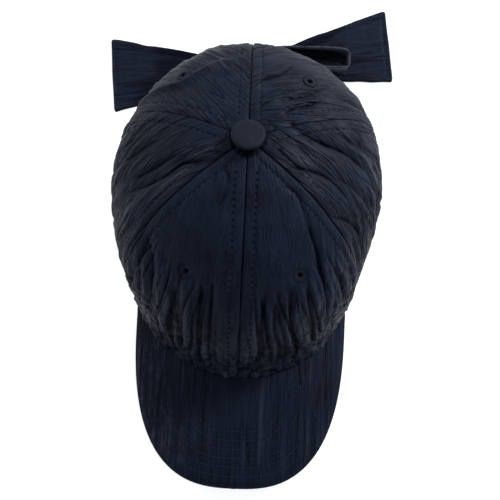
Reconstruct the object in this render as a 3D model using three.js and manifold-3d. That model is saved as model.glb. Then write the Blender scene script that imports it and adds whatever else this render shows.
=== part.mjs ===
// A six-panel cap of black crinkled cloth, lying on a table.
// It has a soft domed crown, a curved peak, a covered top button and four stitched eyelets.
// Two ties leave the arched opening behind and end in a half bow: a knot, one loop and two flared tails.
// Millimetres, +Z up. The peak points along -Y, the bow lies towards +Y, and the loop is on the +X side.
// The origin is the middle of the underside of the box round the whole cap.
import * as THREE from 'three';
import { mergeVertices } from 'three/addons/utils/BufferGeometryUtils.js';
import Module from 'manifold-3d';

const wasm = await Module();
wasm.setup();

// Driving dimensions

const CLOTH = 2.0; // wall of the crown, two layers of crinkled cloth
const GAP = 0.3; // clearance between neighbouring pieces

const CROWN = {
  height: 115.5, // apex above the table
  shoulderFront: 42.8, // height of the widest section, in front and behind
  shoulderBack: 65.7,
  shoulderShare: 0.72, // share of the way from apex to rim at which the shoulder lies
  halfWidth: 89.1,
  frontReach: 109.0,
  backReach: 94.4,
  fullnessFront: 1.96, // power of the superellipse above the shoulder
  fullnessBack: 2.22,
  rimSide: 0.962, // rim as a share of the widest section, at the sides, front and back
  rimFront: 1.023,
  rimBack: 0.96,
  lean: 23.8, // how far back the apex is carried
  eye: 5.0, // radius of the hole left under the button
};

const PEAK = {
  halfWidth: 74.7,
  length: 70.2, // from the front of the rim to the tip
  squareness: 2.66, // power of the superellipse of its outer edge
  thickness: 3.2,
  jointHeight: 21.0, // top face at the middle of the joint with the crown
  tipHeight: 15.0,
  sideHeight: 3.2, // top face at the two side edges, which touch the table
  cornerTuck: 4.0, // how much narrower the joint edge is than the outer edge
  columns: 24, // facets across, and from the joint to the outer edge
  rows: 8,
};

const ARCH = { halfAngle: 24, topShare: 0.78 }; // opening behind: half width round the rim, and its top
const BUTTON = { radius: 10.6, height: 6.0, rivetRadius: 4.4, rivetDepth: 2.4 };
const EYELET = { outer: 4.3, inner: 1.7, height: 1.3, hole: 1.9, drillLength: 12 };
const RIBBON = 2.0; // wall of the ties, the loop and the tails
const KNOT = { x: 2, y: 134, z: 16, halfX: 12, halfY: 11.5, halfZ: 14.6, squareness: 4 };
const WAIST = { pull: 0.08, width: 0.25 }; // how the ribbon's turn draws the knot in, as shares of it

const SEAM_DIP = 1.0; // how far the cloth pulls in along each seam
const QUIET = 9; // radius of smooth cloth round each eyelet
const PANEL_COLUMNS = 14;
const ROWS_ABOVE = 12; // rows of facets above the shoulder, and below it
const ROWS_BELOW = 5;

// The panels lie between seams at these angles, measured round the crown from +X towards +Y.
// gathers counts the upright folds drawn in at the rim, and gatherDepth is their height.
const PANELS = [
  { name: 'front_left_panel', from: -144.2, to: -90, gathers: 7, gatherDepth: 1.3, shade: 0x161a24 },
  { name: 'front_right_panel', from: -90, to: -35.8, gathers: 7, gatherDepth: 1.3, shade: 0x191d27 },
  { name: 'side_right_panel', from: -35.8, to: 23.6, gathers: 7, gatherDepth: 0.7, shade: 0x232733 },
  { name: 'back_right_panel', from: 23.6, to: 90, arch: 'to', gathers: 0, gatherDepth: 0, shade: 0x232733 },
  { name: 'back_left_panel', from: 90, to: 156.4, arch: 'from', gathers: 0, gatherDepth: 0, shade: 0x1f232f },
  { name: 'side_left_panel', from: 156.4, to: 215.8, gathers: 7, gatherDepth: 0.7, shade: 0x1a1e29 },
];
const GATHERS = { start: 0.4, full: 0.66, hem: 0.9, leftAtRim: 0.25 };

// Creases run straight from one place on the crown to another. A place is an angle and a share of the
// way from the apex, 0, to the rim, 1. A positive depth is a valley and a negative one a ridge.
const CREASES = [
  { at: 'left flank, upper', angle: -146, share: 0.12, toAngle: -160, toShare: 0.27, width: 5, depth: 2.4 },
  { at: 'left flank, lower', angle: -160, share: 0.27, toAngle: -165, toShare: 0.5, width: 7, depth: 3.2 },
  { at: 'right flank, upper', angle: 27, share: 0.14, toAngle: 7, toShare: 0.22, width: 6, depth: 3.2 },
  { at: 'right flank, lower', angle: 7, share: 0.22, toAngle: -1, toShare: 0.42, width: 7, depth: 3.4 },
  { at: 'right flank, middle', angle: -29, share: 0.14, toAngle: -21, toShare: 0.26, width: 5, depth: 1.8 },
  { at: 'right temple, upper', angle: -34, share: 0.34, toAngle: -28, toShare: 0.42, width: 6, depth: 2.6 },
  { at: 'right temple, lower', angle: -28, share: 0.42, toAngle: -31, toShare: 0.66, width: 7, depth: 3.0 },
  { at: 'front right, upper', angle: -47, share: 0.24, toAngle: -53, toShare: 0.43, width: 5, depth: 2.0 },
  { at: 'front right, lower', angle: -53, share: 0.43, toAngle: -58, toShare: 0.68, width: 6, depth: 3.0 },
  { at: 'left temple', angle: -133, share: 0.45, toAngle: -127, toShare: 0.6, width: 6, depth: 2.4 },
  { at: 'back left crest, low', angle: 150, share: 0.54, toAngle: 139, toShare: 0.34, width: 5, depth: -2 },
  { at: 'back left crest, top', angle: 139, share: 0.34, toAngle: 108, toShare: 0.3, width: 5, depth: -1.8 },
  { at: 'back right row', angle: 37, share: 0.14, toAngle: 38, toShare: 0.48, width: 5, depth: 1.8 },
];
const CREASE_STEPS = 6; // straight steps by which a crease follows the curve of the crown

// Broad swells and hollows of the soft crown, each a rounded patch.
const SWELLS = [
  { at: 'back right shoulder', angle: 34, share: 0.6, reachAngle: 20, reachShare: 0.24, height: 3.0 },
  { at: 'right temple', angle: -27, share: 0.6, reachAngle: 16, reachShare: 0.24, height: -3.2 },
  { at: 'left flank notch', angle: -164, share: 0.5, reachAngle: 8, reachShare: 0.14, height: -1.6 },
  { at: 'back left hollow', angle: 133, share: 0.5, reachAngle: 15, reachShare: 0.1, height: -2 },
];

const EYELETS = [
  { name: 'eyelet_front_left', panel: 'front_left_panel', angle: -115.6, share: 0.392 },
  { name: 'eyelet_front_right', panel: 'front_right_panel', angle: -63.5, share: 0.392 },
  { name: 'eyelet_back_right', panel: 'back_right_panel', angle: 52.5, share: 0.306 },
  { name: 'eyelet_back_left', panel: 'back_left_panel', angle: 130, share: 0.36 },
];

// Each row is a section across a tail, from the knot to the free end: its near and far edges seen
// from the front, the height of its underside and its thickness.
const TAIL_LEFT = [
  { nearX: -10.6, nearY: 125.5, farX: -10.6, farY: 142, under: 3.6, thick: 4.4 },
  { nearX: -20, nearY: 123, farX: -20, farY: 143.4, under: 1.6, thick: 3.6 },
  { nearX: -32, nearY: 119.6, farX: -34, farY: 146.4, under: 0, thick: 2.6 },
  { nearX: -48, nearY: 115, farX: -52, farY: 149.8, under: 0, thick: RIBBON },
  { nearX: -68, nearY: 109, farX: -72, farY: 152.3, under: 0, thick: RIBBON },
  { nearX: -87.6, nearY: 102.2, farX: -94, farY: 155.5, under: 0, thick: RIBBON },
  { nearX: -107.4, nearY: 95.2, farX: -116.1, farY: 159, under: 0, thick: RIBBON },
];
const TAIL_RIGHT = [
  { nearX: 14.6, nearY: 126, farX: 14.6, farY: 145.5, under: 3.6, thick: 4.4 },
  { nearX: 24, nearY: 127.6, farX: 23, farY: 154, under: 1.6, thick: 3.6 },
  { nearX: 36, nearY: 129, farX: 35, farY: 162.6, under: 0, thick: 2.6 },
  { nearX: 53, nearY: 130, farX: 51, farY: 170.6, under: 0, thick: RIBBON },
  { nearX: 70.6, nearY: 130.6, farX: 69, farY: 179.1, under: 0, thick: RIBBON },
  { nearX: 92, nearY: 131.2, farX: 88, farY: 188, under: 0, thick: RIBBON },
  { nearX: 112.3, nearY: 131.8, farX: 106.6, farY: 196.9, under: 0, thick: RIBBON },
];
const TAIL = { steps: 12, columns: 10, ribs: 5, ribHeight: 0.7 };

// The loop's band stands on edge. Its middle line goes out along the far side and back along the near.
const LOOP = [
  { x: 14.9, y: 140.4, low: 13, high: 29 },
  { x: 28, y: 141, low: 11, high: 30 },
  { x: 42, y: 140.6, low: 9, high: 30.5 },
  { x: 56, y: 141, low: 7, high: 30.5 },
  { x: 65.6, y: 140.6, low: 6.5, high: 30 },
  { x: 71.2, y: 138.2, low: 6.5, high: 29.5 },
  { x: 72.8, y: 134.3, low: 6.5, high: 28.5 },
  { x: 71.2, y: 130.4, low: 7, high: 27.5 },
  { x: 65.6, y: 128.4, low: 7, high: 27 },
  { x: 54, y: 127.8, low: 8, high: 26.5 },
  { x: 42, y: 128.1, low: 10, high: 27 },
  { x: 28, y: 128.6, low: 12, high: 28 },
  { x: 14.9, y: 129.2, low: 13, high: 29 },
];
const LOOP_STEPS = 34;

// A tie lies flat on the crown beside the arch, then runs free to the knot.
const TIE = { low: 3, high: 26, seatAngles: [57, 61, 65], standOff: 0.5, freeFromY: 90, steps: 12 };
const TIE_FREE = [
  { x: 29, y: 96, low: 3.5, high: 26 },
  { x: 20, y: 108, low: 5, high: 25.5 },
  { x: 11, y: 117, low: 7, high: 25 },
  { x: 6, y: 121.8, low: 8, high: 24.5 },
];

// Small helpers

const radians = THREE.MathUtils.degToRad;
const ramp = THREE.MathUtils.smoothstep;

function bell(distance, width) {
  return Math.exp(-((distance / width) ** 2));
}

// Smallest turn from one angle to another, in degrees.
function turn(from, to) {
  return ((to - from + 540) % 360) - 180;
}

function signedPower(value, power) {
  return Math.sign(value) * Math.abs(value) ** power;
}

// The shape of the crown, before its creases

// Half size of an oval section in the given direction.
function ovalReach(angle, halfWidth, halfLength) {
  return 1 / Math.hypot(Math.cos(angle) / halfWidth, Math.sin(angle) / halfLength);
}

function sectionReach(angle) {
  return ovalReach(angle, CROWN.halfWidth, Math.sin(angle) < 0 ? CROWN.frontReach : CROWN.backReach);
}

function rimShare(angle) {
  const along = Math.sin(angle) < 0 ? CROWN.rimFront : CROWN.rimBack;
  return CROWN.rimSide * Math.cos(angle) ** 2 + along * Math.sin(angle) ** 2;
}

// Height of the peak's top face, before the lean. It arches across and falls away towards the tip.
function peakTop(x, y) {
  const joint = CROWN.frontReach * CROWN.rimFront;
  const outward = THREE.MathUtils.clamp((-y - joint) / PEAK.length, 0, 1);
  const middle = THREE.MathUtils.lerp(PEAK.jointHeight, PEAK.tipHeight, outward);
  return middle - (middle - PEAK.sideHeight) * (x / PEAK.halfWidth) ** 2;
}

// Height of the crown's lower edge: on the peak in front, and on the table elsewhere.
function rimHeight(x, y) {
  return y < 0 ? Math.max(0, peakTop(x, y) + GAP) : 0;
}

// The whole cap leans back a little, in step with the height.
function leanAt(z) {
  return (CROWN.lean * z) / CROWN.height;
}

// Share of the way to the rim at which the arch's edge cuts the panels short.
function edgeShare(degrees) {
  const across = Math.abs(turn(90, degrees)) / ARCH.halfAngle;
  return across < 1 ? 1 - (1 - ARCH.topShare) * Math.sqrt(1 - across ** 2) : 1;
}

// How far round to the back a direction points, from 0 in front to 1 behind.
function backness(degrees) {
  return (1 + Math.sin(radians(degrees))) / 2;
}

function shoulderHeight(degrees) {
  return THREE.MathUtils.lerp(CROWN.shoulderFront, CROWN.shoulderBack, backness(degrees));
}

function fullness(degrees) {
  return THREE.MathUtils.lerp(CROWN.fullnessFront, CROWN.fullnessBack, backness(degrees));
}

function crownBase(degrees, share) {
  const angle = radians(degrees);
  const power = 2 / fullness(degrees);
  const shoulder = shoulderHeight(degrees);
  const quarter = (Math.min(share / CROWN.shoulderShare, 1) * Math.PI) / 2;
  const low = Math.max(0, (share - CROWN.shoulderShare) / (1 - CROWN.shoulderShare));
  const widest = sectionReach(angle);
  const reach = widest * signedPower(Math.sin(quarter), power) * (1 - (1 - rimShare(angle)) * low ** 2);
  const x = reach * Math.cos(angle);
  const y = reach * Math.sin(angle);
  const rimReach = widest * rimShare(angle);
  const rim = rimHeight(rimReach * Math.cos(angle), rimReach * Math.sin(angle));
  const z = low > 0
    ? THREE.MathUtils.lerp(shoulder, rim, low)
    : shoulder + (CROWN.height - shoulder) * signedPower(Math.max(Math.cos(quarter), 0), power);
  return new THREE.Vector3(x, y + leanAt(z), z);
}

function crownNormal(degrees, share) {
  const step = 0.01;
  const around = crownBase(degrees + 1, share).sub(crownBase(degrees - 1, share));
  const down = crownBase(degrees, share + step).sub(crownBase(degrees, Math.max(share - step, 0.001)));
  return down.cross(around).normalize();
}

// The line of a crease over the crown, as short straight steps.
function creaseLine(crease) {
  return Array.from({ length: CREASE_STEPS + 1 }, (_, i) => crownBase(
    crease.angle + (turn(crease.angle, crease.toAngle) * i) / CREASE_STEPS,
    THREE.MathUtils.lerp(crease.share, crease.toShare, i / CREASE_STEPS),
  ));
}

const CREASE_LINES = CREASES.map(creaseLine);

function distanceToLine(place, line) {
  const foot = new THREE.Vector3();
  const step = new THREE.Line3();
  let nearest = Infinity;
  for (let i = 0; i < line.length - 1; i += 1) {
    step.set(line[i], line[i + 1]).closestPointToPoint(place, true, foot);
    nearest = Math.min(nearest, foot.distanceTo(place));
  }
  return nearest;
}

// How far the cloth stands out from the plain shape of the crown at a place.
function relief(panel, degrees, share) {
  const place = crownBase(degrees, share);
  const inside = (degrees - panel.from) / (panel.to - panel.from);
  let height = SEAM_DIP * (Math.sqrt(Math.max(Math.sin(Math.PI * inside), 0)) - 1);
  CREASES.forEach(({ width, depth }, i) => {
    height -= depth * bell(distanceToLine(place, CREASE_LINES[i]), width);
  });
  for (const swell of SWELLS) {
    const across = turn(swell.angle, degrees) / swell.reachAngle;
    const down = (share - swell.share) / swell.reachShare;
    height += swell.height * bell(Math.hypot(across, down), 1);
  }
  const drawn = ramp(share, GATHERS.start, GATHERS.full);
  const held = 1 - (1 - GATHERS.leftAtRim) * ramp(share, GATHERS.hem, 1);
  height += panel.gatherDepth * drawn * held * Math.cos(2 * Math.PI * panel.gathers * inside);
  return height * calm(place);
}

// Falls to nothing round each eyelet, so that the cloth lies smooth under it.
function calm(place) {
  return EYELET_PLACES.reduce((free, eyelet) => free * (1 - bell(place.distanceTo(eyelet), QUIET)), 1);
}

const EYELET_PLACES = EYELETS.map((eyelet) => crownBase(eyelet.angle, eyelet.share));

function crownPoint(panel, degrees, share, depth) {
  const normal = crownNormal(degrees, share);
  return crownBase(degrees, share).addScaledVector(normal, relief(panel, degrees, share) - depth);
}

// Solids from grids of points

// Turns a closed surface right side out, and merges the points that its faces share.
function closedBody(geometry) {
  geometry.deleteAttribute('normal');
  geometry.deleteAttribute('uv');
  const body = mergeVertices(geometry, 1e-4);
  const point = body.getAttribute('position');
  const index = body.getIndex();
  const corner = [0, 1, 2].map(() => new THREE.Vector3());
  let volume = 0;
  for (let i = 0; i < index.count; i += 3) {
    corner.forEach((vertex, j) => vertex.fromBufferAttribute(point, index.getX(i + j)));
    volume += corner[0].dot(corner[1].clone().cross(corner[2]));
  }
  if (volume < 0) {
    index.array.reverse();
  }
  return body;
}

function pushQuad(faces, a, b, c, d) {
  faces.push(a, b, c, a, c, d);
}

function geometryFrom(positions, faces) {
  const geometry = new THREE.BufferGeometry();
  geometry.setAttribute('position', new THREE.Float32BufferAttribute(positions, 3));
  geometry.setIndex(faces);
  return geometry;
}

// A sheet of cloth with a top and an under grid of the same rows and columns, closed round its edge.
function sheetBody(top, under) {
  const rows = top.length;
  const columns = top[0].length;
  const points = [...top.flat(), ...under.flat()];
  const shift = rows * columns;
  const faces = [];
  for (let r = 0; r < rows - 1; r += 1) {
    for (let c = 0; c < columns - 1; c += 1) {
      const a = r * columns + c;
      pushQuad(faces, a, a + columns, a + columns + 1, a + 1);
      pushQuad(faces, a + shift, a + 1 + shift, a + columns + 1 + shift, a + columns + shift);
    }
  }
  for (let r = 0; r < rows - 1; r += 1) {
    const a = r * columns;
    const b = a + columns - 1;
    pushQuad(faces, a, a + shift, a + columns + shift, a + columns);
    pushQuad(faces, b, b + columns, b + columns + shift, b + shift);
  }
  for (let c = 0; c < columns - 1; c += 1) {
    const a = c;
    const b = (rows - 1) * columns + c;
    pushQuad(faces, a, a + 1, a + 1 + shift, a + shift);
    pushQuad(faces, b, b + shift, b + 1 + shift, b + 1);
  }
  return closedBody(geometryFrom(points.flatMap((point) => point.toArray()), faces));
}

// Values of every named column along a smooth line through a table's rows.
function sampleRows(table, steps) {
  const names = Object.keys(table[0]);
  const samples = [];
  for (let i = 0; i <= steps; i += 1) {
    const place = (i / steps) * (table.length - 1);
    const k = Math.min(Math.floor(place), table.length - 2);
    const rows = [k - 1, k, k + 1, k + 2].map((j) => table[THREE.MathUtils.clamp(j, 0, table.length - 1)]);
    const t = place - k;
    const sample = {};
    for (const name of names) {
      const [a, b, c, d] = rows.map((row) => row[name]);
      const slopeIn = (c - a) / 2;
      const slopeOut = (d - b) / 2;
      const bend = 2 * (b - c) + slopeIn + slopeOut;
      const rise = 3 * (c - b) - 2 * slopeIn - slopeOut;
      sample[name] = ((bend * t + rise) * t + slopeIn) * t + b;
    }
    samples.push(sample);
  }
  return samples;
}

// The crown's panels

function evenSteps(start, end, count) {
  return Array.from({ length: count + 1 }, (_, i) => start + ((end - start) * i) / count);
}

// Angles of a panel's columns. Beside the arch they crowd towards its foot, where its edge is steep.
function columnAngles(panel) {
  const reach = panel.to - panel.from;
  if (!panel.arch) {
    return evenSteps(panel.from, panel.to, PANEL_COLUMNS);
  }
  const half = PANEL_COLUMNS / 2;
  const plain = evenSteps(0, reach - ARCH.halfAngle, half);
  const arched = evenSteps(0, Math.PI / 2, half).slice(1)
    .map((quarter) => reach - ARCH.halfAngle * Math.cos(quarter));
  const offsets = [...plain, ...arched];
  return panel.arch === 'to'
    ? offsets.map((offset) => panel.from + offset)
    : offsets.map((offset) => panel.to - offset).reverse();
}

// Share at which the cloth starts, at the edge of the small hole under the button.
function eyeShare(degrees) {
  const out = (CROWN.eye / sectionReach(radians(degrees))) ** (fullness(degrees) / 2);
  return (Math.asin(out) * 2 * CROWN.shoulderShare) / Math.PI;
}

function rowShare(row, degrees) {
  const start = eyeShare(degrees);
  const end = edgeShare(degrees);
  if (row <= ROWS_ABOVE) {
    return THREE.MathUtils.lerp(start, CROWN.shoulderShare, row / ROWS_ABOVE);
  }
  return THREE.MathUtils.lerp(CROWN.shoulderShare, end, (row - ROWS_ABOVE) / ROWS_BELOW);
}

// Brings a point of the lower edge onto what the crown stands on.
function onRim(point) {
  const upright = point.y - leanAt(point.z);
  const z = rimHeight(point.x, upright);
  return new THREE.Vector3(point.x, upright + leanAt(z), z);
}

function panelBody(panel) {
  const angles = columnAngles(panel);
  const last = ROWS_ABOVE + ROWS_BELOW;
  const grid = (depth) => Array.from({ length: last + 1 }, (_, row) => angles.map((degrees, column) => {
    const share = rowShare(row, degrees);
    const reach = Math.max(CROWN.eye, Math.hypot(crownBase(degrees, share).x, crownBase(degrees, share).y));
    const side = column === 0 ? 1 : column === angles.length - 1 ? -1 : 0;
    const inset = side * THREE.MathUtils.radToDeg(GAP / 2 / reach);
    const point = crownPoint(panel, degrees + inset, share, depth);
    return share === 1 ? onRim(point) : point;
  }));
  return sheetBody(grid(0), grid(CLOTH));
}

// The small parts of the crown

function seat(geometry, place, normal) {
  const facing = new THREE.Quaternion().setFromUnitVectors(new THREE.Vector3(0, 0, 1), normal);
  return geometry.applyQuaternion(facing).translate(place.x, place.y, place.z);
}

// A body turned about +Z from a profile of [radius, height] pairs.
function turnedBody(profile, segments) {
  const points = profile.map(([radius, height]) => new THREE.Vector2(radius, height));
  return closedBody(new THREE.LatheGeometry(points, segments).rotateX(Math.PI / 2));
}

function panelOf(eyelet) {
  return PANELS.find((panel) => panel.name === eyelet.panel);
}

function eyeletSeat(eyelet) {
  return crownPoint(panelOf(eyelet), eyelet.angle, eyelet.share, 0);
}

function eyeletBody(eyelet) {
  const { outer, inner, height } = EYELET;
  const foot = GAP;
  const ring = turnedBody([
    [inner, foot],
    [outer, foot],
    [outer - 0.4, height * 0.7],
    [(outer + inner) / 2, height + foot],
    [inner, height * 0.7],
    [inner, foot],
  ], 12);
  return seat(ring, eyeletSeat(eyelet), crownNormal(eyelet.angle, eyelet.share));
}

function manifoldOf(geometry) {
  return new wasm.Manifold(new wasm.Mesh({
    numProp: 3,
    vertProperties: Float32Array.from(geometry.getAttribute('position').array),
    triVerts: Uint32Array.from(geometry.getIndex().array),
  }));
}

function geometryOf(manifold) {
  const mesh = manifold.getMesh();
  return geometryFrom(mesh.vertProperties, Array.from(mesh.triVerts));
}

// A panel with its eyelet's hole through the cloth.
function piercedPanel(panel) {
  let body = panelBody(panel);
  for (const eyelet of EYELETS.filter((row) => row.panel === panel.name)) {
    const drill = closedBody(
      new THREE.CylinderGeometry(EYELET.hole, EYELET.hole, EYELET.drillLength, 10).rotateX(Math.PI / 2),
    );
    seat(drill, eyeletSeat(eyelet), crownNormal(eyelet.angle, eyelet.share));
    body = geometryOf(manifoldOf(body).subtract(manifoldOf(drill)));
  }
  return body;
}

// A cloth-covered button with a domed face, and the rivet that holds it through the crown.
function buttonBody() {
  const { radius, height, rivetRadius, rivetDepth } = BUTTON;
  const body = turnedBody([
    [0, -rivetDepth],
    [rivetRadius, -rivetDepth],
    [rivetRadius, GAP],
    [radius - 1.2, GAP],
    [radius, height * 0.3],
    [radius - 0.3, height * 0.6],
    [radius * 0.86, height * 0.84],
    [radius * 0.6, height * 0.96],
    [0, height],
  ], 24);
  return body.translate(0, CROWN.lean, CROWN.height);
}

// The peak

function peakBody() {
  const { columns, rows } = PEAK;
  const rimX = CROWN.halfWidth * CROWN.rimSide - CLOTH;
  const rimY = CROWN.frontReach * CROWN.rimFront - CLOTH;
  const cornerY = -(rimY + CLOTH) * Math.sqrt(1 - (PEAK.halfWidth / (rimX + CLOTH)) ** 2);
  const reach = rimY + CLOTH + PEAK.length + cornerY;
  const place = (angle, outward, depth) => {
    const across = signedPower(Math.cos(angle), 2 / PEAK.squareness);
    const outerX = PEAK.halfWidth * across;
    const outerY = cornerY - reach * signedPower(Math.sin(angle), 2 / PEAK.squareness);
    const innerX = (PEAK.halfWidth - PEAK.cornerTuck) * across;
    const innerY = -rimY * Math.sqrt(1 - (innerX / rimX) ** 2);
    const x = THREE.MathUtils.lerp(innerX, outerX, outward);
    const y = THREE.MathUtils.lerp(innerY, outerY, outward);
    const z = peakTop(x, y);
    return new THREE.Vector3(x, y + leanAt(z), z - depth);
  };
  const grid = (depth) => evenSteps(0, 1, rows).map(
    (outward) => evenSteps(0, Math.PI, columns).map((angle) => place(angle, outward, depth)),
  );
  return sheetBody(grid(0), grid(PEAK.thickness));
}

// The bow

// Ribs along a tail, highest at the knot, that die out towards the free end and the edges.
function tailRib(along, across) {
  const gathered = 1 - ramp(along, 0.1, 0.9);
  const inward = Math.sin(Math.PI * across);
  return TAIL.ribHeight * gathered * inward * Math.cos(2 * Math.PI * TAIL.ribs * across);
}

function tailBody(table) {
  const sections = sampleRows(table, TAIL.steps);
  const grid = (isTop) => sections.map((section, i) => Array.from({ length: TAIL.columns + 1 }, (_, c) => {
    const across = c / TAIL.columns;
    const x = THREE.MathUtils.lerp(section.nearX, section.farX, across);
    const y = THREE.MathUtils.lerp(section.nearY, section.farY, across);
    const under = Math.max(section.under, 0);
    const top = under + section.thick + tailRib(i / TAIL.steps, across);
    return new THREE.Vector3(x, y, isTop ? top : under);
  }));
  return sheetBody(grid(true), grid(false));
}

// A band standing on edge. Each row gives its two edges, and the wall lies either side of them.
function bandBody(edges) {
  const wall = (side) => edges.map((edge, i) => {
    const before = edges[Math.max(i - 1, 0)];
    const after = edges[Math.min(i + 1, edges.length - 1)];
    const along = after.low.clone().sub(before.low);
    const outward = along.cross(new THREE.Vector3(0, 0, 1)).normalize().multiplyScalar((side * RIBBON) / 2);
    const middle = edge.low.clone().lerp(edge.high, 0.5);
    return [edge.low, middle, edge.high].map((point) => point.clone().add(outward));
  });
  return sheetBody(wall(1), wall(-1));
}

function loopBody() {
  return bandBody(sampleRows(LOOP, LOOP_STEPS).map(({ x, y, low, high }) => ({
    low: new THREE.Vector3(x, y, low),
    high: new THREE.Vector3(x, y, high),
  })));
}

// A place at a height for the middle of a tie that lies against the outside of a back panel.
function tieSeat(panel, degrees, height) {
  const low = 1 - height / shoulderHeight(degrees);
  const share = CROWN.shoulderShare + (1 - CROWN.shoulderShare) * low;
  return crownPoint(panel, degrees, share, -(RIBBON / 2 + TIE.standOff));
}

function tieBody(side) {
  const panel = PANELS.find((row) => row.name === (side > 0 ? 'back_right_panel' : 'back_left_panel'));
  const seated = TIE.seatAngles.map((degrees) => {
    const place = side > 0 ? degrees : 180 - degrees;
    return { low: tieSeat(panel, place, TIE.low), high: tieSeat(panel, place, TIE.high) };
  });
  const rows = seated.map(({ low, high }) => ({
    lowX: low.x, lowY: low.y, highX: high.x, highY: high.y, low: low.z, high: high.z,
  }));
  for (const { x, y, low, high } of TIE_FREE) {
    const across = KNOT.x * ramp(y, TIE.freeFromY, KNOT.y) + side * x;
    rows.push({ lowX: across, lowY: y, highX: across, highY: y, low, high });
  }
  return bandBody(sampleRows(rows, TIE.steps).map((row) => ({
    low: new THREE.Vector3(row.lowX, row.lowY, row.low),
    high: new THREE.Vector3(row.highX, row.highY, row.high),
  })));
}

// The knot is a rounded block with two turns of ribbon pulled tight round it.
function knotBody() {
  const ball = closedBody(new THREE.SphereGeometry(1, 20, 14).rotateX(Math.PI / 2));
  const point = ball.getAttribute('position');
  const place = new THREE.Vector3();
  for (let i = 0; i < point.count; i += 1) {
    place.fromBufferAttribute(point, i);
    const size = (Math.abs(place.x) ** KNOT.squareness + Math.abs(place.y) ** KNOT.squareness
      + Math.abs(place.z) ** KNOT.squareness) ** (1 / KNOT.squareness);
    place.divideScalar(size);
    const waist = 1 - WAIST.pull * bell(place.x, WAIST.width) * Math.abs(place.z);
    point.setXYZ(
      i,
      KNOT.x + KNOT.halfX * place.x,
      KNOT.y + KNOT.halfY * place.y * waist,
      KNOT.z + KNOT.halfZ * place.z * waist,
    );
  }
  return ball;
}

// Assembly

function cloth(shade) {
  return new THREE.MeshStandardMaterial({ color: shade, roughness: 0.72, metalness: 0 });
}

function named(name, geometry, material) {
  const mesh = new THREE.Mesh(geometry, material);
  mesh.name = name;
  return mesh;
}

const cap = new THREE.Group();
const bowCloth = cloth(0x181c28);

for (const panel of PANELS) {
  cap.add(named(panel.name, piercedPanel(panel), cloth(panel.shade)));
}
cap.add(named('peak', peakBody(), cloth(0x161a22)));
cap.add(named('top_button', buttonBody(), cloth(0x262a35)));
for (const eyelet of EYELETS) {
  cap.add(named(eyelet.name, eyeletBody(eyelet), cloth(0x14171f)));
}
cap.add(named('tie_left', tieBody(-1), bowCloth));
cap.add(named('tie_right', tieBody(1), bowCloth));
cap.add(named('bow_knot', knotBody(), bowCloth));
cap.add(named('bow_loop', loopBody(), cloth(0x292d38)));
cap.add(named('tail_left', tailBody(TAIL_LEFT), bowCloth));
cap.add(named('tail_right', tailBody(TAIL_RIGHT), cloth(0x232732)));

const box = new THREE.Box3().setFromObject(cap);
cap.position.set(-(box.min.x + box.max.x) / 2, -(box.min.y + box.max.y) / 2, -box.min.z);

const group = new THREE.Group();
group.add(cap);

export default group;
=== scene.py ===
"""A soft six-panel cap of black crinkled cloth, with a curved peak and a half bow behind, lying on a table.

Sizes are in millimetres in the cap's own axes: +Z up, the peak towards -Y and the bow towards +Y.
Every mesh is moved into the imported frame, in metres, when its object is made.
"""
import logging
import math
from dataclasses import dataclass, field
from enum import Enum
from typing import Callable, Sequence

import bpy
import numpy as np
from mathutils import Matrix, Vector


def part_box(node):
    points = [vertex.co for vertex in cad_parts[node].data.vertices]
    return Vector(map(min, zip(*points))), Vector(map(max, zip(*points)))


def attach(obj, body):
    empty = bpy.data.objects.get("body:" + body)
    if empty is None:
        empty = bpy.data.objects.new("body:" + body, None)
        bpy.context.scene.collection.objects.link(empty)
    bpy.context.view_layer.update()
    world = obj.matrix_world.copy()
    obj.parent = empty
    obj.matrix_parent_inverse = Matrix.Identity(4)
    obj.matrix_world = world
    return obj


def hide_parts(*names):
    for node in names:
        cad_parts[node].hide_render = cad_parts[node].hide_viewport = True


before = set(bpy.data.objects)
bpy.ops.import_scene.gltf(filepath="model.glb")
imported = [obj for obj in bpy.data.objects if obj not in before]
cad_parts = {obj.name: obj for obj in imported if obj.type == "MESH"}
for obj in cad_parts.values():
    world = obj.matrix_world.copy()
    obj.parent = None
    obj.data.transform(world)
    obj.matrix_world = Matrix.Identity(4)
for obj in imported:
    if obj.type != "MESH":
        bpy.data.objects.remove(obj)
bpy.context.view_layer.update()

LOG = logging.getLogger("cap")
MM = 0.001
BODY = "root"
FLOOR_CLEARANCE = 0.05

Array = np.ndarray
Triple = tuple[float, float, float]
Pair = tuple[float, float]


# Number helpers


def bell(distance: Array, width: float) -> Array:
    """Gives 1 at no distance and falls smoothly to 0 within about two widths."""
    return np.exp(-((distance / width) ** 2))


def ramp(value: Array, low: float, high: float) -> Array:
    """Rises smoothly from 0 at low to 1 at high."""
    t = np.clip((value - low) / (high - low), 0.0, 1.0)
    return t * t * (3.0 - 2.0 * t)


def blend(start: Array, end: Array, share: Array) -> Array:
    """Mixes two values, from start at 0 to end at 1."""
    return start + (end - start) * share


def turn(start: Array, end: Array) -> Array:
    """Gives the smallest turn from one angle to another, in degrees."""
    return (end - start + 540.0) % 360.0 - 180.0


def unit(vectors: Array) -> Array:
    """Scales vectors to unit length."""
    return vectors / np.maximum(np.linalg.norm(vectors, axis=-1, keepdims=True), 1e-12)


def down_steps(count: int, end: float = 1.0) -> Array:
    """Gives even steps from 0 to an end, as the column that a grid's rows take."""
    return np.linspace(0.0, end, count + 1)[:, None]


def across_steps(count: int, end: float = 1.0) -> Array:
    """Gives even steps from 0 to an end, as the row that a grid's columns take."""
    return down_steps(count, end).T


def steps_of(line: Array) -> Array:
    """Gives the distance from each point of a line to the next."""
    return np.linalg.norm(np.diff(line, axis=0), axis=1)


def distances(line: Array) -> Array:
    """Gives how far each point of a line lies from its start, measured along it."""
    return np.concatenate([[0.0], np.cumsum(steps_of(line))])


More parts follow.
